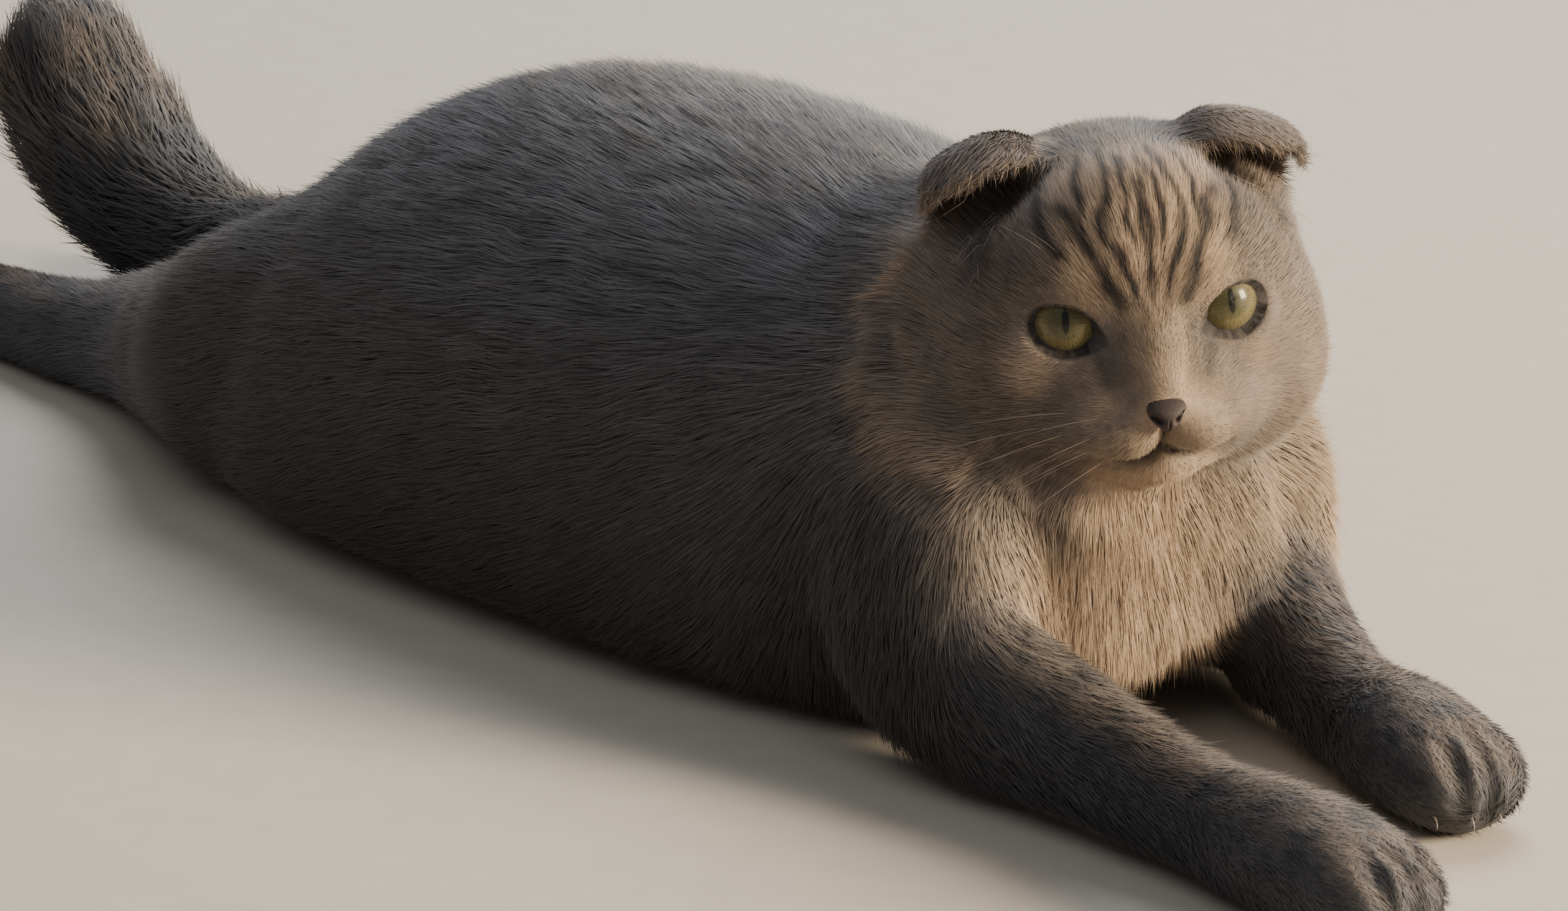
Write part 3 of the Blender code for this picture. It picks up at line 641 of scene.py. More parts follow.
def mark_body_with_light_and_shade(towards, points, normals, shares, body, patch, fine):
    """A blue back with dark and silver streaks, lighter on top as painted light, flanks darkened by painted shade, a
    slate tail deepened by painted shade with painted backlight on its tip, blue legs with painted light on their
    tops, and a warm bib with painted light low down and painted shadow at its top.
    """
    height = points[:, 2]
    # The back's blue is the coat's own; its extra brightness towards the top is painted light.
    towards(BLUE * 1.35, step(height, 0.050, 0.150) * body * (0.62 + 0.30 * patch))
    streak = step(waves(points * (0.35, 1.3, 1.3), 0.010, 33), 0.20, 0.9) * step(height, 0.06, 0.14) * body
    towards(SLATE, 0.50 * streak)
    silver = step(waves(points * (0.30, 1.4, 1.4), 0.0085, 34), 0.25, 1.0) * step(height, 0.07, 0.15) * body
    towards(BLUE * 2.1, 0.45 * silver)
    # Painted shade: the low flanks, which face away from the front, are darkened.
    towards(GREY * 0.30, 0.88 * fall(height, 0.028, 0.132) * body * fall(normals[:, 0], 0.1, 0.6))
    legs = share_of(shares, *both("forearm", "forepaw", "hind_foot", "shank"))
    towards(BLUE * 0.88 * (1 + 0.14 * fine[:, None]), 0.80 * legs)
    # Painted light: the upward-facing tops of the legs are paler.
    towards(TAUPE * 1.3, 0.58 * legs * step(normals[:, 2], 0.30, 0.90) * step(patch + fine, -1.2, 0.4))
    # The tail is darkened to slate: partly its own colour, partly painted shade. The warm flecks on its tip are
    # painted backlight.
    towards(SLATE * 0.8, 0.80 * share_of(shares, "tail_root", "tail_middle"))
    tail_tip = share_of(shares, "tail_tip")
    towards(SLATE, 0.40 * tail_tip)
    towards(WARM * 0.6, 0.35 * tail_tip * step(patch, -0.2, 0.8))
    bib = step(normals[:, 0] + 0.25 * normals[:, 1], 0.15, 0.70)
    bib *= share_of(shares, "chest", "neck", *both("upper_foreleg"))
    bib *= step(points[:, 1], -0.092, -0.070) * step(points[:, 0] - MODEL_SHIFT.x, 0.105, 0.170)
    # The warm bib is partly the coat's own colour and partly painted light: brighter low down, and darker at the top
    # as painted shadow of the head.
    towards(WARM * (1.65 - 0.95 * step(height, 0.030, 0.105) + 0.12 * patch)[:, None], 0.80 * bib)
    towards(TAUPE * 0.7, 0.45 * bib * step(fine, 0.3, 0.9))


def paint_ruff_shade_and_light(towards, own, on_ruff):
    """Painted shade in the hollows behind the folds of the ruff and painted warm light on the folds, weaker on the
    left.
    """
    fold = ruff_folds(own)
    strong = on_ruff * (1 - 0.5 * step(own[:, 1], 0.0, 0.02))
    towards(SLATE, 0.35 * bell(fold - 0.0065, 0.0030) * strong * step(own[:, 0], -0.016, -0.004) * (own[:, 1] < 0.01))
    towards(WARM * 1.1, 0.60 * bell(fold, 0.0024) * strong)


def mark_head_with_light_and_shade(towards, own, head, patch):
    """A blue crown, a warm brow with dark lines, dark temples with painted shadow of the ear deepening the right one,
    a pale muzzle and chin, a right cheek darkened by painted shade, and painted shadow of the nose bridge beside the
    right eye.
    """
    ahead, aside, up = own.T
    wide = np.abs(aside)
    right = step(-aside, 0.0, 0.012)
    crown = head * step(up, 0.026, 0.040) * fall(ahead, 0.016, 0.034)
    towards(BLUE * 0.85, 0.72 * crown * step(patch, -0.9, 0.4))
    brow = head * step(up, -0.002, 0.014) * fall(wide, 0.020, 0.030) * step(ahead, 0.0, 0.02)
    towards(WARM * 1.30, 0.78 * brow)
    towards(SLATE * 1.4, 0.30 * brow * step(waves(own * (0.5, 1.8, 0.45), 0.0060, 23), 0.35, 1.0))
    wavy = on_left(own)
    wavy[:, 1] += 0.0011 * waves(own, 0.016, 21)
    taper = 0.96 + 0.10 * waves(own, 0.011, 24)
    for path, width in BROW_LINES:
        towards(LINE, 1.02 * head * taper * bell(bearing_distance(wavy, path), 1.12 * width))
    temple = head * step(up, -0.004, 0.012) * step(wide, 0.026, 0.042) * step(ahead, -0.02, 0.01)
    # Dark temples on both sides; the extra darkness on the right one is painted shadow of the ear.
    towards(SLATE * 1.4, (0.25 + 0.35 * right) * temple * step(patch, -0.8, 0.4))
    muzzle = head * fall(away(own, (0.043, 0, -0.032)), 0.014, 0.030)
    towards(WARM * 1.15, 0.58 * muzzle)
    chin = head * step(-up, 0.042, 0.048) * step(ahead, 0.014, 0.026) * fall(wide, 0.016, 0.026)
    towards(WARM * 1.45, 0.60 * chin)
    first_row, row = 0.0275, 0.0034  # rows of small dark spots at the whiskers' roots
    rows = np.abs(up + first_row + row * np.round((-up - first_row) / row))
    spots = bell(rows, 0.0008) * step(np.cos(wide / 0.0042 * 2 * math.pi), -0.2, 0.6)
    towards(SLATE, 0.45 * muzzle * spots * step(wide, 0.007, 0.011) * fall(up, -0.026, -0.022))
    bridge = head * step(ahead, 0.034, 0.044) * fall(wide, 0.007, 0.012) * (up > -0.022)
    towards(WARM, 0.50 * bridge * fall(up, 0.002, 0.012))
    cheek = head * step(-up, 0.002, 0.02) * step(wide, 0.018, 0.034)
    towards(TAUPE * 1.15, 0.5 * cheek)
    # Painted shade: the right cheek is greyer and darker.
    towards(GREY * 0.8, 0.42 * cheek * right)
    # Painted shadow that the nose bridge casts beside the right eye.
    bridge_shadow_distance = path_distance(own, mm(((41, -14.5, -1), (46, -12.5, -10), (50, -9.5, -18))))
    towards(SLATE * 1.3, 0.58 * head * bell(bridge_shadow_distance, 0.0052) * step(-aside, 0.0045, 0.0080))


def mark_eye_with_light(towards, own, side, head):
    """Warm fur under and over an eye, paler and larger under the right eye as painted sunlight, and dark lids with a
    dark line down from their inner corner.
    """
    a, behind = EYE_OPENING[0], own[:, 0] < 0
    ring = round_eye(own, side) + 3 * behind
    # A warm patch under both eyes is the coat's own; the paler, larger one under the right eye is painted sunlight.
    if side > 0:
        spot, reach, pale, share = (0.006, 0.001, -0.0150), 0.011, 1.1, 0.62
    else:
        spot, reach, pale, share = (0.004, -0.006, -0.0140), 0.014, 1.9, 0.85
    towards(WARM * pale, share * (fall(away(own, spot), 0.004, reach) * head))
    towards(WARM * 1.05, 0.50 * (fall(away(own, (0.006, side * 0.002, 0.0140)), 0.003, 0.008) * head))
    towards(SLATE * 0.6, 0.70 * head * fall(ring, 1.04, 1.15))
    towards(LIP, 0.92 * head * fall(ring, 1.01, 1.06))
    tear = path_distance(own[:, 1:], ((-side * a * 0.9, -0.002), (-side * a * 1.6, -0.011))) + 0.05 * behind
    towards(SLATE * 0.8, 0.62 * head * bell(tear, 0.0022))


# ---------------------------------------------------------------- tufts
# Each kind of tuft: its faces, how bright each corner is and how far the shading leans to the side there.
STRAIGHT_TUFT = (
    ((0, 1, 2), (1, 3, 2), (2, 3, 0), (0, 3, 1)),
    (0.80, 0.80, 0.86, 1.20),
    (-0.5, 0.5, 0, 0),
)
BENT_TUFT = (
    ((0, 2, 3), (0, 3, 1), (0, 1, 2), (2, 4, 3), (3, 4, 1), (1, 4, 2)),
    (0.78, 0.96, 0.96, 1.00, 1.12),
    (0, -0.55, 0.55, 0, 0),
)
PATCH, PATCH_TURN = 0.0013, 2.4  # size of a tuft's own patch on the flat map, and the turn from corner to corner


def tufts(name, bent, root, normal, way, length, width, lift, colour, uv, gather):
    """One closed mesh of three-sided tufts along the skin, straight or rising and bending over."""
    side = np.cross(way, normal)
    length, wide = length[:, None], width[:, None] / 2
    if bent:
        faces, shade, lean = BENT_TUFT
        first, last = np.radians(lift[:, :1]), np.radians(lift[:, 1:])
        middle = root + length * 0.42 * (np.cos(first) * way + np.sin(first) * normal) + gather * 0.35
        tip = middle + length * 0.58 * (np.cos(last) * way + np.sin(last) * normal) + gather * 0.65
        ring = [middle - side * wide, middle + side * wide, middle + normal * wide * 0.8]
        points = np.stack([root - normal * 0.0012] + ring + [tip], axis=1)
    else:
        faces, shade, lean = STRAIGHT_TUFT
        rise = np.radians((lift[:, :1] + lift[:, 1:]) / 2)
        start = root - normal * 0.0004
        tip = root + length * (np.cos(rise) * way + np.sin(rise) * normal) + gather
        points = np.stack([start - side * wide, start + side * wide, start + normal * wide * 0.9, tip], axis=1)
    points[:, :, 2] = np.maximum(points[:, :, 2], FLOOR_GAP)
    count, corners = points.shape[:2]
    faces = np.array(faces)
    index = (faces[None] + (np.arange(count) * corners)[:, None, None]).reshape(-1, 3)
    mesh = bpy.data.meshes.new(name)
    mesh.vertices.add(count * corners)
    mesh.vertices.foreach_set("co", points.astype(np.float32).ravel())
    mesh.loops.add(index.size)
    mesh.loops.foreach_set("vertex_index", index.astype(np.int32).ravel())
    mesh.polygons.add(len(index))
    mesh.polygons.foreach_set("loop_start", np.arange(0, index.size, 3, dtype=np.int32))
    mesh.polygons.foreach_set("use_smooth", np.ones(len(index), bool))
    mesh.update(calc_edges=True)
    set_colours(mesh, (colour[:, None, :] * np.array(shade)[None, :, None]).reshape(-1, 3))
    turn = unit(normal[:, None, :] + np.array(lean)[None, :, None] * side[:, None, :])
    mesh.normals_split_custom_set_from_vertices(turn.reshape(-1, 3).astype(np.float32))
    flat = mesh.uv_layers.new(name="OFBake")
    spread = np.array([(math.cos(PATCH_TURN * k) * PATCH, math.sin(PATCH_TURN * k) * PATCH) for k in range(corners)])
    place = uv[:, None, :] + spread[faces.ravel()][None]
    flat.data.foreach_set("uv", np.clip(place, 0, 1).astype(np.float32).ravel())
    return linked(name, mesh)


# ---------------------------------------------------------------- materials
def feed(tree, socket, value):
    """Sets a socket, or links it to another node's output."""
    if isinstance(value, bpy.types.NodeSocket):
        tree.links.new(value, socket)
    else:
        socket.default_value = value


def feed_all(tree, node, **values):
    """Feeds the sockets of a node by their names, with _ for a space."""
    for name, value in values.items():
        feed(tree, node.inputs[name.replace("_", " ")], value)


def add_node(tree, kind, settings=(), **values):
    """A new shader node with its settings, and its sockets fed."""
    made = tree.nodes.new("ShaderNode" + kind)
    for name, value in settings:
        setattr(made, name, value)
    feed_all(tree, made, **values)
    return made


def mixed(tree, share, first, second, **settings):
    """The colour between two others."""
    settings = {"data_type": "RGBA", **settings}
    return add_node(tree, "Mix", settings.items(), Factor=share, A=first, B=second).outputs["Result"]


def ramp(tree, share, stops):
    """A colour that runs through the given stops."""
    made = add_node(tree, "ValToRGB", Fac=share)
    elements = made.color_ramp.elements
    while len(elements) < len(stops):
        elements.new(0.5)
    for element, (place, colour) in zip(elements, stops):
        element.position = place
        element.color = (*colour, 1)
    return made.outputs["Color"]


def bumped(tree, shader, height, strength, distance):
    bump = add_node(tree, "Bump", Strength=strength, Distance=distance, Height=height)
    feed_all(tree, shader, Normal=bump.outputs["Normal"])


def shader_of(name, colour=(0.5, 0.5, 0.5), roughness=0.5):
    made = bpy.data.materials.new(name)
    made.use_nodes = True
    shader = made.node_tree.nodes["Principled BSDF"]
    feed_all(made.node_tree, shader, Base_Color=(*colour, 1), Roughness=roughness)
    return made, made.node_tree, shader


def mottled(name, colour, roughness, dark, light, **grain):
    """A material whose colour wanders between a dark and a light one."""
    made, tree, shader = shader_of(name, colour, roughness)
    place = add_node(tree, "TexCoord").outputs["Object"]
    spots = add_node(tree, "TexNoise", Vector=place, **grain).outputs["Fac"]
    feed_all(tree, shader, Base_Color=mixed(tree, spots, (*dark, 1), (*light, 1)))
    return made, tree, shader, place


def furry(name, roughness):
    """A material that takes its colour from the coat's own attribute."""
    made, tree, shader = shader_of(name, roughness=roughness)
    tint = add_node(tree, "Attribute", [("attribute_name", "coat")])
    feed_all(tree, shader, Base_Color=tint.outputs["Color"])
    return made, tree, shader


def plush():
    """Short dense fur, matt, with a soft sheen."""
    made, tree, shader = furry("plush_fur", 0.62)
    sheen = {"Sheen_Weight": 0.22, "Sheen_Roughness": 0.45, "Sheen_Tint": (1.0, 0.93, 0.86, 1)}
    feed_all(tree, shader, Specular_IOR_Level=0.30, **sheen)
    return made


def under_skin():
    """The skin and its underfur, with a fine nap."""
    made, tree, shader = furry("underfur", 0.8)
    place = add_node(tree, "TexCoord").outputs["Object"]
    nap = add_node(tree, "TexNoise", Vector=place, Scale=900, Detail=3)
    bumped(tree, shader, nap.outputs["Fac"], 0.5, 0.0006)
    return made


def eye_material():
    """A yellow-green iris with fine rays, a dark rim and an upright slit pupil, under a wet clear coat."""
    made, tree, shader = shader_of("iris_green", roughness=0.35)

    def maths(operation, *values):
        node = add_node(tree, "Math", [("operation", operation)])
        for socket, value in zip(node.inputs, values):
            feed(tree, socket, value)
        return node.outputs[0]

    def length(across, up):
        return maths("SQRT", maths("ADD", maths("MULTIPLY", across, across), maths("MULTIPLY", up, up)))

    flat = add_node(tree, "UVMap", [("uv_map", "iris")])
    parts = add_node(tree, "SeparateXYZ", Vector=flat.outputs["UV"])
    u, v = (maths("SUBTRACT", parts.outputs[axis], 0.5) for axis in "XY")
    far = length(u, v)
    round_rays, along_rays = maths("MULTIPLY", maths("ARCTAN2", v, u), 7.0), maths("MULTIPLY", far, 5.0)
    place = add_node(tree, "CombineXYZ", X=round_rays, Y=along_rays).outputs["Vector"]
    rays = add_node(tree, "TexNoise", Vector=place, Scale=2.6, Detail=4).outputs["Fac"]
    bands = ramp(tree, far, (
        (0.00, (0.038, 0.041, 0.020)),
        (0.11, (0.062, 0.061, 0.029)),
        (0.20, (0.108, 0.096, 0.046)),
        (0.30, (0.192, 0.158, 0.078)),
        (0.375, (0.168, 0.146, 0.084)),
        (0.425, (0.060, 0.054, 0.038)),
        (0.465, (0.010, 0.008, 0.008)),
    ))
    contrast = ramp(tree, rays, ((0.30, (0.30, 0.36, 0.30)), (0.66, (1.1, 1.08, 1.0))))
    iris = mixed(tree, 0.75, bands, contrast, blend_type="MULTIPLY")
    slit = length(maths("DIVIDE", u, 0.047), maths("DIVIDE", v, 0.165))
    edge = add_node(tree, "MapRange", From_Min=0.86, From_Max=1.10, Value=slit)
    pupil = mixed(tree, edge.outputs["Result"], (0.004, 0.004, 0.004, 1), iris)
    bumped(tree, shader, rays, 0.25, 0.0003)
    wet = {"Coat_Weight": 0.6, "Coat_Roughness": 0.09, "Coat_IOR": 1.38}
    feed_all(tree, shader, Base_Color=pupil, Specular_IOR_Level=0.2, **wet)
    return made


def bare_skin(name, colour, roughness, grain, gloss=0.0):
    """Bare skin, pebbled finely, as on the nose and the pads."""
    dark, light = [c * 0.7 for c in colour], [c * 1.35 for c in colour]
    made, tree, shader, place = mottled(name, colour, roughness, dark, light, Scale=grain * 0.25)
    cells = add_node(tree, "TexVoronoi", Vector=place, Scale=grain)
    bumped(tree, shader, cells.outputs["Distance"], 0.35, 0.0002)
    feed_all(tree, shader, Coat_Weight=gloss, Coat_Roughness=0.25)
    return made


def horn(name, colour, roughness):
    """Whiskers and claws: pale horn, a little glossy, mottled along its length."""
    return mottled(name, colour, roughness, [c * 0.8 for c in colour], [c * 1.15 for c in colour], Scale=220)[0]


# ---------------------------------------------------------------- the coat
def coat_settings(points, normals, shares):
    """A row of COAT for each point of the skin, with less coat round the eyes, nose and mouth and under the body."""
    own = in_frame(points, HEAD)
    wide = np.abs(own[:, 1])
    rows = shares @ np.array([COAT[PART_OF[name]] for name in FLESH])
    on_head = (away(own) < 0.085) * np.clip(share_of(shares, "head") * 2, 0, 1)
    near = fall(away(own, NOSE_AT), 0.004, 0.078)
    rows = rows + (near * on_head)[:, None] * (np.array(COAT["face"]) - rows)
    keep = np.ones(len(points))
    for side in (1, -1):
        eye = in_frame(points, eye_frame(side))
        ring = round_eye(eye, side)
        in_front = (eye[:, 0] > 0) & (away(eye) < 0.02)
        keep *= np.where(in_front, step(ring, 1.02, 1.06), 1)
        rows[:, LONG] *= np.where(in_front, 0.50 + 0.50 * step(ring, 1.10, 1.9), 1)
    keep *= np.maximum(step(face_lines(own), 0.0004, 0.0009), step(wide, 0.012, 0.018))
    keep *= step(away((own - NOSE_AT) / (np.array(NOSE_HALF) * (1.3, 0.92, 0.92))), 0.95, 1.05)
    keep *= 0.75 + 0.25 * step(toe_lines(points), 0.0004, 0.0014)
    under = step(-normals[:, 2], 0.5, 0.85) * fall(points[:, 2], 0.006, 0.016)
    rows[:, DENSE] *= keep * (1 - 0.9 * under)
    temple = step(wide, 0.038, 0.048) * step(own[:, 2], 0.002, 0.014) * on_head * step(0.024 - own[:, 0], 0, 0.01)
    rows[:, LONG] *= 1 + 0.45 * temple
    rows[:, RISE : TIP_RISE + 1] += np.outer(temple, (16, 14))
    behind = np.clip(share_of(shares, *both("ear")) * 1.5, 0, 1)
    behind *= step(-normals @ np.array(HEAD_TURN)[:3, 0], -0.1, 0.3)
    rows[:, LONG] *= 1 - 0.5 * behind
    return rows


def locks(root, normal, short):
    """How far each tuft's tip is drawn along the skin to the middle of its lock."""
    middles = root[rng.random(len(root)) < LOCK_SHARE]
    gather = middles[nearest_place(root, middles)] - root
    gather -= (gather * normal).sum(axis=1)[:, None] * normal
    return gather * (np.where(short, 0.20, 0.30) * (away(gather) < 0.008))[:, None]


def grow_coat(skin, shares, fur):
    """Covers the skin in tufts and returns them as a few joined meshes."""
    mesh = skin.data
    mesh.calc_loop_triangles()
    points, normals, edges = points_of(mesh), normals_of(mesh), edges_of(mesh)
    index = coat_parts(points)
    way = lie_of(points, normals, index)
    for _ in range(10):
        way = along_surface(averaged(way, edges, 0.5, 6), normals)
    way = along_surface(round_the_eyes(way, points), normals)
    colour = coat_colour(points, normals, shares)
    rows = coat_settings(points, normals, shares)

    corners = read(mesh.loop_triangles, "vertices", 3, np.int32)
    loops = read(mesh.loop_triangles, "loops", 3, np.int32)
    flat = read(mesh.uv_layers["OFBake"].data, "uv", 2)
    a, b, c = (points[corners[:, k]] for k in range(3))
    area = away(np.cross(b - a, c - a)) / 2 * 1e4  # square centimetres
    wanted = area * rows[corners, DENSE].mean(axis=1)
    kind = np.array([PART_OF[name] for name in FLESH])[index[corners[:, 0]]]
    short = ~np.isin(kind, BENT)
    wanted *= COAT_TRIANGLES / (wanted * np.where(short, len(STRAIGHT_TUFT[0]), len(BENT_TUFT[0]))).sum()
    total = int(wanted.sum())
    running = np.cumsum(wanted)
    at = (np.arange(total) + rng.uniform(0, 1, total)) * running[-1] / total
    face_of = np.minimum(np.searchsorted(running, at), len(corners) - 1)
    first, second = np.sqrt(rng.uniform(0, 1, total)), rng.uniform(0, 1, total)
    share = np.column_stack([1 - first, first * (1 - second), first * second])

    def spread(values, of=corners):
        """The values at the tufts' roots, from those at the corners of their faces."""
        return (values[of[face_of]] * share[:, :, None]).sum(axis=1)

    root, normal = spread(points), unit(spread(normals))
    lie = along_surface(spread(way), normal)
    tint, setting = spread(colour), spread(rows)
    place = spread(flat, loops)
    kind, short = kind[face_of], short[face_of]
    calm = np.where(kind == "head", 0.35, np.where(short, 0.6, 1))
    swirl = 0.24 * waves(root, 0.034, 11) + 0.16 * waves(root, 0.012, 12) + rng.normal(0, 0.12, total)
    swirl *= calm
    across = np.cross(normal, lie)
    lie = unit(np.cos(swirl)[:, None] * lie + np.sin(swirl)[:, None] * across)
    length = setting[:, LONG] * rng.uniform(0.70, 1.20, total) * (1 + 0.10 * waves(root, 0.018, 13))
    width = setting[:, WIDE] * rng.uniform(0.60, 1.30, total)
    first, last = setting[:, RISE] + rng.normal(0, 6, total), setting[:, TIP_RISE] + rng.normal(0, 5, total)
    lift = np.column_stack([first, last]) + (4.5 * waves(root, 0.009, 14) * calm)[:, None]
    fine = np.isin(kind, ["head", "ear"])
    shown = root + (0.6 * length)[:, None] * lie
    tint[fine] = coat_colour(shown[fine], normal[fine], spread(shares)[fine])
    guard = rng.uniform(0, 1, total) < GUARD_SHARE
    length *= np.where(guard, 1.22, 1)
    width *= np.where(guard, 0.55, 1)
    lift[guard] += 7
    lock = 0.11 * waves(root * (0.5, 1.5, 1.5), 0.0045, 15) + 0.08 * waves(root * (0.4, 1.3, 1.3), 0.013, 16)
    tint = tint * (1 + rng.normal(0, 0.13, total) + lock * np.where(kind == "head", 0.6, 1))[:, None]
    tint = np.clip(tint * np.where(guard, 1.30, 1)[:, None], 0.006, 0.85)
    seeds = (root, normal, lie, length, width, lift, tint, place, locks(root, normal, short))

    made = []
    for name, parts in COAT_PIECES.items():
        bent = parts[0] in BENT
        numbers = np.nonzero(np.isin(kind, parts))[0]
        triangles = len(numbers) * len((BENT_TUFT if bent else STRAIGHT_TUFT)[0])
        for k, some in enumerate(np.array_split(numbers, math.ceil(triangles / PIECE_TRIANGLES))):
            piece = tufts(f"{name}_{k + 1}", bent, *(values[some] for values in seeds))
            piece.data.materials.append(fur)
            made.append(piece)
    return made


# ---------------------------------------------------------------- eyes
def eyeball(side, name, material):
    deselect()
    bpy.ops.mesh.primitive_uv_sphere_add(segments=72, ring_count=48, radius=EYE_RADIUS)
    eye = added(name)
    gaze = Matrix.Translation(eye_frame(side).translation) @ HEAD_TURN
    gaze = gaze @ turned(side * GAZE_OUT + GAZE_TURN, "Z") @ turned(-GAZE_UP, "Y")
    eye.data.transform(gaze @ turned(90, "Y"))
    own = in_frame(points_of(eye.data), gaze)
    corner = read(eye.data.loops, "vertex_index", 1, np.int32)[:, 0]
    flat = 0.5 + own[:, 1:] / (2 * EYE_RADIUS)
    eye.data.uv_layers.new(name="iris").data.foreach_set("uv", flat[corner].astype(np.float32).ravel())
    bulged = own * (1 + 0.030 * step(own[:, 0] / EYE_RADIUS, 0.62, 1))[:, None]
    set_points(eye.data, out_of_frame(bulged, gaze))
    return finished(eye, material)


def lid_rim(side, name, material):
    """The dark bare edge of the lids, thicker above."""
    deselect()
    bpy.ops.mesh.primitive_torus_add(major_segments=96, minor_segments=12, major_radius=1, minor_radius=0.1)
    rim = added(name)
    ring = points_of(rim.data)
    angle = np.arctan2(ring[:, 1], ring[:, 0])
    spoke = np.column_stack([np.zeros(len(ring)), np.cos(angle), np.sin(angle)])
    reach = np.zeros(len(ring))
    for size in np.linspace(0.004, 0.015, 600):
        reach = np.where(round_eye(spoke * size, side) < 1.0, size, reach)
    out, up = (np.hypot(ring[:, 0], ring[:, 1]) - 1) / 0.1, ring[:, 2] / 0.1
    thick = 0.00046 + 0.00032 * np.clip(np.sin(angle), 0, 1)
    far = reach + thick * 0.9 + out * thick
    ahead = np.sqrt(np.maximum(EYE_RADIUS**2 - far**2, 1e-9)) + up * thick + 0.0003
    set_points(rim.data, out_of_frame(spoke * far[:, None] + ahead[:, None] * (1, 0, 0), eye_frame(side)))
    only(rim)
    bpy.ops.object.mode_set(mode="EDIT")
    bpy.ops.mesh.select_all(action="SELECT")
    bpy.ops.mesh.normals_make_consistent(inside=False)
    bpy.ops.object.mode_set(mode="OBJECT")
    return finished(rim, material)


# ---------------------------------------------------------------- nose
def nose_leather(material):
    """The bare tip of the nose, broad above and narrow below, with comma-shaped nostrils and a cleft."""
    deselect()
    bpy.ops.mesh.primitive_uv_sphere_add(segments=96, ring_count=64, radius=1)
    nose = added("nose_leather")
    ball = points_of(nose.data)
    ahead, aside, up = ball.T
    points = ball * NOSE_HALF
    points[:, 1] *= 1 + 0.48 * up
    points[:, 0] *= 0.90 - 0.16 * np.clip(-up, 0, 1)
    points[:, 0] -= 0.0012 * step(up, 0.2, 1.0)
    for side in (1, -1):
        nostril = mm(((2.4, -1.1), (3.6, -0.2), (4.7, 0.4), (5.8, -0.6))) * (side, 1)
        points[:, 0] -= 0.0030 * bell(path_distance(points[:, 1:], nostril), 0.00085) * step(ahead, -0.2, 0.3)
    points[:, 0] -= 0.0007 * (bell(aside, 0.07) * step(-up, -0.1, 0.4) * step(ahead, 0.1, 0.5))
    set_points(nose.data, out_of_frame(points, HEAD @ Matrix.Translation(NOSE_AT)))
    return finished(nose, material)


# ---------------------------------------------------------------- whiskers, claws and pads
def hair_curve(path, thick):
    """A tapered hair along a path of points, as a mesh."""
    curve = bpy.data.curves.new("hair", "CURVE")
    curve.dimensions = "3D"
    curve.bevel_depth = 1.0
    curve.bevel_resolution = 1
    curve.use_fill_caps = True
    spline = curve.splines.new("POLY")
    last = len(path) - 1
    spline.points.add(last)
    for k, (point, p) in enumerate(zip(spline.points, path)):
        point.co = (*p, 1)
        point.radius = thick * (1 - 0.86 * (k / last))
    only(linked("hair", curve))
    bpy.ops.object.convert(target="MESH")
    return bpy.context.view_layer.objects.active


def arc(start, way, fall_to, length, bend):
    """Points of a hair that leaves along a way and bends towards where it falls to."""
    count = 12
    start, way, fall_to = (np.array(values, float) for values in (start, way, fall_to))
    way /= np.linalg.norm(way)
    points = [start]
    for k in range(count):
        ahead = way + fall_to * bend * (k / count) ** 1.3
        points.append(points[-1] + ahead / np.linalg.norm(ahead) * length / count)
    return points


def whiskers(material):
    """Four rows of whiskers on each side of the muzzle, and short ones over the eye and on the cheek."""
    made = []
    own = np.random.default_rng(5)
    for side in (1, -1):
        for row in range(4):
            for k in range(3 - (row in (0, 3))):
                start = (0.0460 - 0.0045 * k, side * (0.0120 + 0.0038 * k), -0.0262 - 0.0036 * row)
                rise = 0.16 - 0.15 * row + own.uniform(-0.08, 0.08)
                way = (0.36 - 0.12 * k + own.uniform(-0.06, 0.06), side, rise)
                length = (0.040 + 0.0080 * k) * own.uniform(0.85, 1.15)
                made.append((arc(start, way, (-0.60, 0, -0.50), length, 0.85), WHISKER * own.uniform(0.55, 1.0)))
        for k in range(3):
            start = (0.036 - 0.002 * k, side * (0.018 + 0.0030 * k), 0.0150 + 0.0010 * k)
            way = (0.55, side * (0.35 + 0.16 * k), 0.9)
            made.append((arc(start, way, (-0.6, side * 0.5, -0.2), 0.020 + 0.004 * k, 0.9), WHISKER * 0.6))
        for k in range(2):
            start = (0.024, side * (0.043 + 0.003 * k), -0.016 - 0.003 * k)
            made.append((arc(start, (0.5, side, 0.1), (-0.6, 0, -0.4), 0.018, 0.8), WHISKER * 0.6))
    hairs = [hair_curve([HEAD @ Vector(p) for p in path], thick) for path, thick in made]
    return finished(merged(hairs, "whiskers"), material)


def claws(skin, material):
    """The tips of the claws, which stand a little out of the front toes."""
    made = []
    for word in ("left_forepaw", "right_forepaw"):
        tip, forward, across = paw_place(word)
        for spread in TOES:
            aim = tip + across * spread * 1.1
            found, where, _, _ = skin.ray_cast(Vector((aim.x, aim.y, 0.0105)) + forward * 0.05, -forward)
            if not found:
                continue
            root = where - forward * 0.0015
            path = [root]
            for ahead, down in ((0.0016, 0.0002), (0.0025, 0.0009), (0.0031, 0.0020), (0.0033, 0.0033)):
                path.append(root + forward * ahead - Vector((0, 0, down)))
            made.append(hair_curve(path, 0.00050))
    return finished(merged(made, "claws"), material)


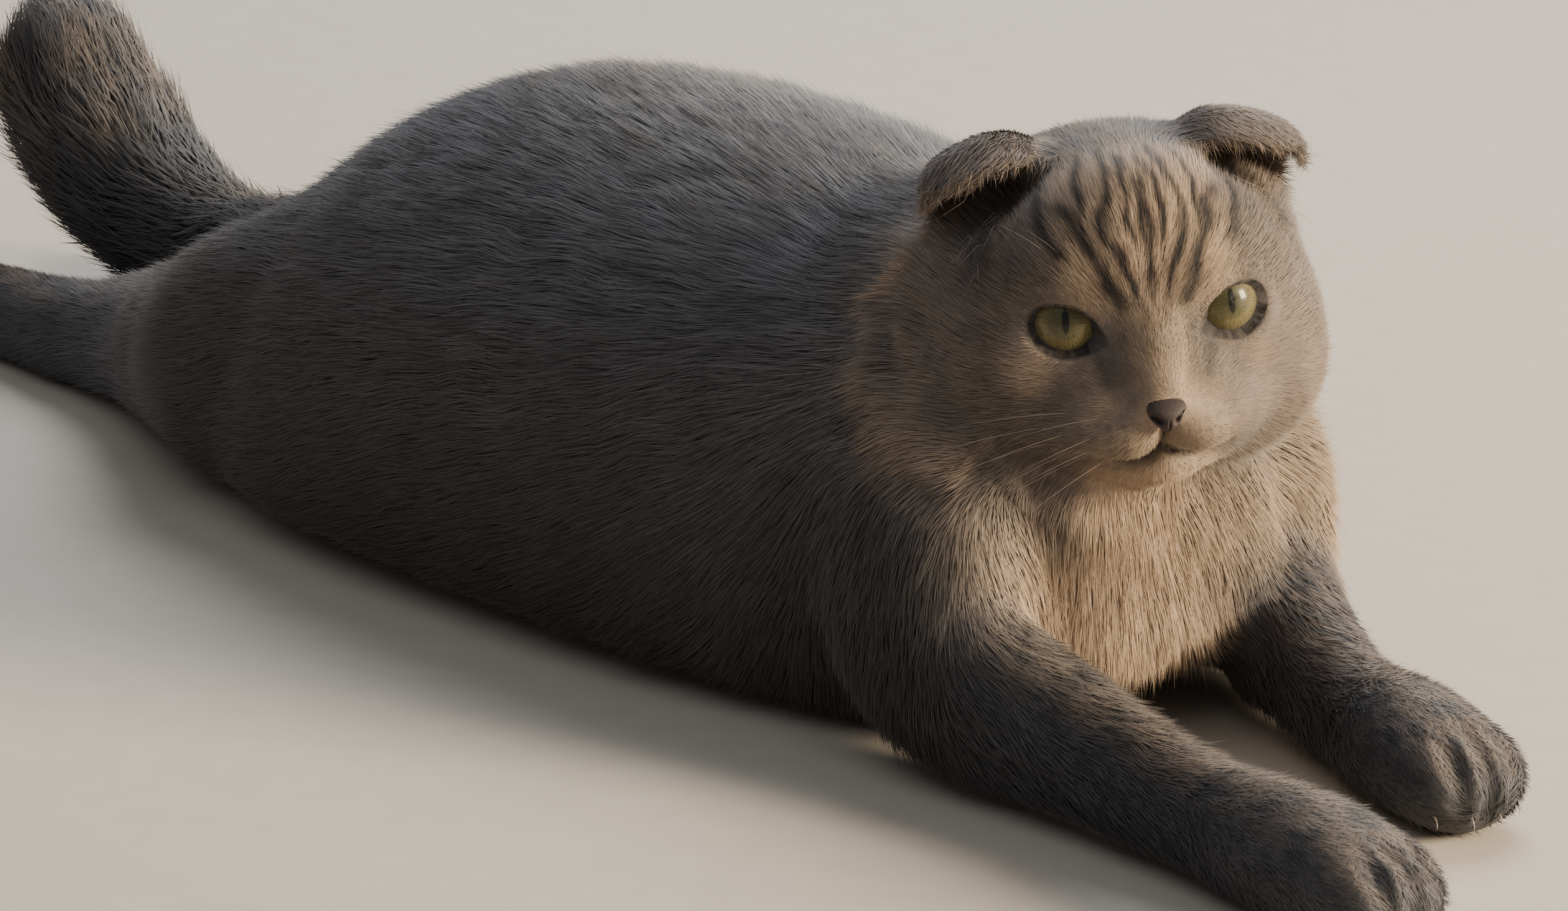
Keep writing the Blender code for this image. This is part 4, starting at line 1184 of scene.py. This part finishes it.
def pads(skin, material):
    """The pads on the soles of the hind feet, which lie turned up behind."""
    made = []
    for word in ("left_hind_foot", "right_hind_foot"):
        tip, forward, across = paw_place(word)
        spots = [(0.0060, spread, (0.0050, 0.0037, 0.0024)) for spread in TOES[1:3]]
        spots += [(0.0015, spread * 0.90, (0.0046, 0.0035, 0.0022)) for spread in (TOES[0], TOES[3])]
        spots.append((-0.0090, 0, (0.0072, 0.0094, 0.0030)))
        for ahead, aside, half in spots:
            over = tip + forward * ahead + across * aside
            hit, where, normal, _ = skin.ray_cast(Vector((over.x, over.y, 0.08)), Vector((0, 0, -1)))
            if not hit:
                continue
            deselect()
            bpy.ops.mesh.primitive_uv_sphere_add(segments=32, ring_count=20, radius=1)
            pad = added("pad")
            turn = normal.to_track_quat("Z", "X").to_matrix().to_4x4()
            pad.data.transform(Matrix.Translation(where - normal * 0.0001) @ turn @ Matrix.Diagonal((*half, 1)))
            made.append(pad)
    return finished(merged(made, "pads"), material)


def ear_hairs(skin, fur):
    """The long hairs that grow out of the hollow of each ear, and the fringe that hangs from its front edge."""
    own = np.random.default_rng(17)
    turn = HEAD_TURN.to_3x3()
    back = turn.inverted()
    flat = skin.data.uv_layers["OFBake"].data
    seeds = []

    def grow(start, lean, long, tint):
        """Roots a hair in the skin nearest to a place, where the skin doesn't face backwards."""
        _, where, normal, face = skin.closest_point_on_mesh(HEAD @ Vector(start))
        place = flat[skin.data.polygons[face].loop_start].uv
        if (back @ normal).x >= -0.2:
            seeds.append((where, normal, turn @ Vector(lean), long, tint, place))

    for side in (1, -1):
        for k in range(EAR_HAIRS):
            start = (own.uniform(0.004, 0.020), side * own.uniform(0.022, 0.048), own.uniform(0.018, 0.032))
            lean = (own.uniform(0.3, 0.9), side * own.uniform(0.3, 1.2), own.uniform(-0.6, 0.1))
            pale = k % 7 == 0
            tint = TAUPE * own.uniform(1.1, 1.8) if pale else GREY * own.uniform(0.3, 1.0)
            grow(start, lean, own.uniform(0.013, 0.023) if pale else own.uniform(0.008, 0.014), tint)
        for _ in range(EAR_FRINGE):
            at = own.uniform(0, len(EAR_EDGE) - 1.001)
            k = int(at)
            on_edge = EAR_EDGE[k] + (at - k) * (EAR_EDGE[k + 1] - EAR_EDGE[k])
            x, y, z = on_edge + own.normal(0, 0.0012, 3) + (-0.0015, 0, 0.0005)
            lean = (own.uniform(0.1, 0.5), side * own.uniform(-0.1, 0.6), -1)
            long = own.uniform(0.004, 0.0080)
            tint = TAUPE + own.uniform(0, 0.9) * (WARM - TAUPE) if own.random() < 0.7 else GREY * 0.8
            grow((x, side * y, z), lean, long, tint)
    roots, normals, ways, sizes, tints, places = (np.array(values) for values in zip(*seeds))
    total, normal = len(roots), unit(normals)
    lift = np.column_stack([np.full(total, 34.0), np.full(total, 2.0)]) + own.normal(0, 9, (total, 2))
    thick = own.uniform(0.00016, 0.00030, total)
    lie, gather = along_surface(ways, normal), np.zeros((total, 3))
    hairs = tufts("ear_hairs", True, roots, normal, lie, sizes, thick, lift, tints, places, gather)
    hairs.data.materials.append(fur)
    return hairs


# ---------------------------------------------------------------- the room
def floor():
    deselect()
    bpy.ops.mesh.primitive_plane_add(size=14, location=(0, 0, 0))
    ground = added("floor")
    colours = (0.49, 0.44, 0.375), (0.56, 0.51, 0.44)
    ground.data.materials.append(mottled("pale_floor", (0.52, 0.47, 0.40), 0.85, *colours, Scale=60, Detail=6)[0])
    return ground


def bearing(azimuth, elevation):
    """The way out from the cat at an azimuth, which is 0 on its right and 90 ahead of it, and an elevation."""
    a, e = math.radians(azimuth), math.radians(elevation)
    return Vector((math.sin(a) * math.cos(e), -math.cos(a) * math.cos(e), math.sin(e)))


def lamp(name, azimuth, elevation, distance, size, power, colour):
    """A soft square light that faces the cat."""
    data = bpy.data.lights.new(name, "AREA")
    data.shape = "SQUARE"
    data.size = size
    data.energy = power
    data.color = colour
    out = bearing(azimuth, elevation)
    turn = out.to_track_quat("Z", "Y").to_matrix().to_4x4()
    linked(name, data).matrix_world = Matrix.Translation(Vector((0.08, 0, 0.08)) + out * distance) @ turn


def lights():
    lamp("key", 121, 20, 2.4, 0.8, 150, (1.0, 0.82, 0.58))
    lamp("fill", 15, 60, 2.8, 2.6, 12, (0.90, 0.94, 1.0))
    lamp("rim", 215, 50, 2.4, 1.4, 60, (0.92, 0.96, 1.0))
    world = bpy.context.scene.world or bpy.data.worlds.new("studio")
    bpy.context.scene.world = world
    world.use_nodes = True
    feed_all(world.node_tree, world.node_tree.nodes["Background"], Color=(0.84, 0.84, 0.86, 1), Strength=0.26)


CAMERA_AZIMUTH, CAMERA_ELEVATION, CAMERA_ROLL = 46.5, 17.0, 2.5  # degrees
CAMERA_DISTANCE = 1.95
SENSOR = 36  # millimetres
FRAME_SIZE = (2520, 1464)
FOCAL_PIXELS = 10600
EYE_IN_FRAME = (1712, 512)  # where the right eye falls


def camera():
    """A long lens from the front right of the cat, which cuts off its tail and hind feet at the left."""
    roll = math.radians(CAMERA_ROLL)
    back = bearing(CAMERA_AZIMUTH, CAMERA_ELEVATION)
    right = Vector((0, 0, 1)).cross(back).normalized()
    up = back.cross(right)
    level, tall = right * math.cos(roll) + up * math.sin(roll), up * math.cos(roll) - right * math.sin(roll)
    turn = Matrix((level, tall, back)).transposed()
    u, v = EYE_IN_FRAME
    wide, high = FRAME_SIZE
    scale = CAMERA_DISTANCE / FOCAL_PIXELS
    offset = Vector(((u - wide / 2) * scale, -(v - high / 2) * scale, -CAMERA_DISTANCE))
    data = bpy.data.cameras.new("camera")
    data.sensor_width = SENSOR
    data.lens = FOCAL_PIXELS / wide * SENSOR
    data.clip_end = 30
    obj = linked("camera", data)
    obj.matrix_world = Matrix.Translation(centre_of("right_eye") - turn @ offset) @ turn.to_4x4()
    bpy.context.scene.camera = obj


# ---------------------------------------------------------------- assembly
def dressed_skin():
    """The skin with its markings and painted light and shade, and how much each of its points belongs to each solid.
    """
    skin = flesh()
    whole_surface(skin)
    sink_skin(skin)
    set_points(skin.data, press_face(points_of(skin.data), normals_of(skin.data)))
    set_points(skin.data, open_lids(points_of(skin.data)))
    thin_skin(skin)
    unfold(skin)
    points, darker = points_of(skin.data), 0.86
    shares = coat_shares(coat_parts(points), edges_of(skin.data))
    set_colours(skin.data, coat_colour(points, normals_of(skin.data), shares) * darker)
    return finished(skin, under_skin()), shares


def main():
    camera()
    lights()
    floor()

    skin, shares = dressed_skin()
    fur = plush()
    coat = grow_coat(skin, shares, fur)
    coat.append(ear_hairs(skin, fur))
    iris = eye_material()
    rim = bare_skin("lid_rim", (0.022, 0.018, 0.018), 0.4, 2600, 0.3)
    leather = bare_skin("nose_leather", (0.040, 0.029, 0.029), 0.68, 2400)
    pad_skin = bare_skin("pad_leather", (0.085, 0.065, 0.066), 0.6, 1800)
    for word, side in SIDES:
        eye = eyeball(side, word + "_eyeball", iris)
        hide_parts(word + "_eye")
        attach(eye, "root")
        edge = lid_rim(side, word + "_lid_rim", rim)
        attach(edge, "root")
    nose = nose_leather(leather)
    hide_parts("nose")
    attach(nose, "root")
    long_hairs = whiskers(horn("whisker", (0.34, 0.29, 0.24), 0.35))
    tips = claws(skin, horn("claw", (0.42, 0.36, 0.30), 0.35))
    for obj in (long_hairs, tips, pads(skin, pad_skin)):
        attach(obj, "root")
    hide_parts(*FLESH)
    for obj in [skin] + coat:
        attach(obj, "root")


main()
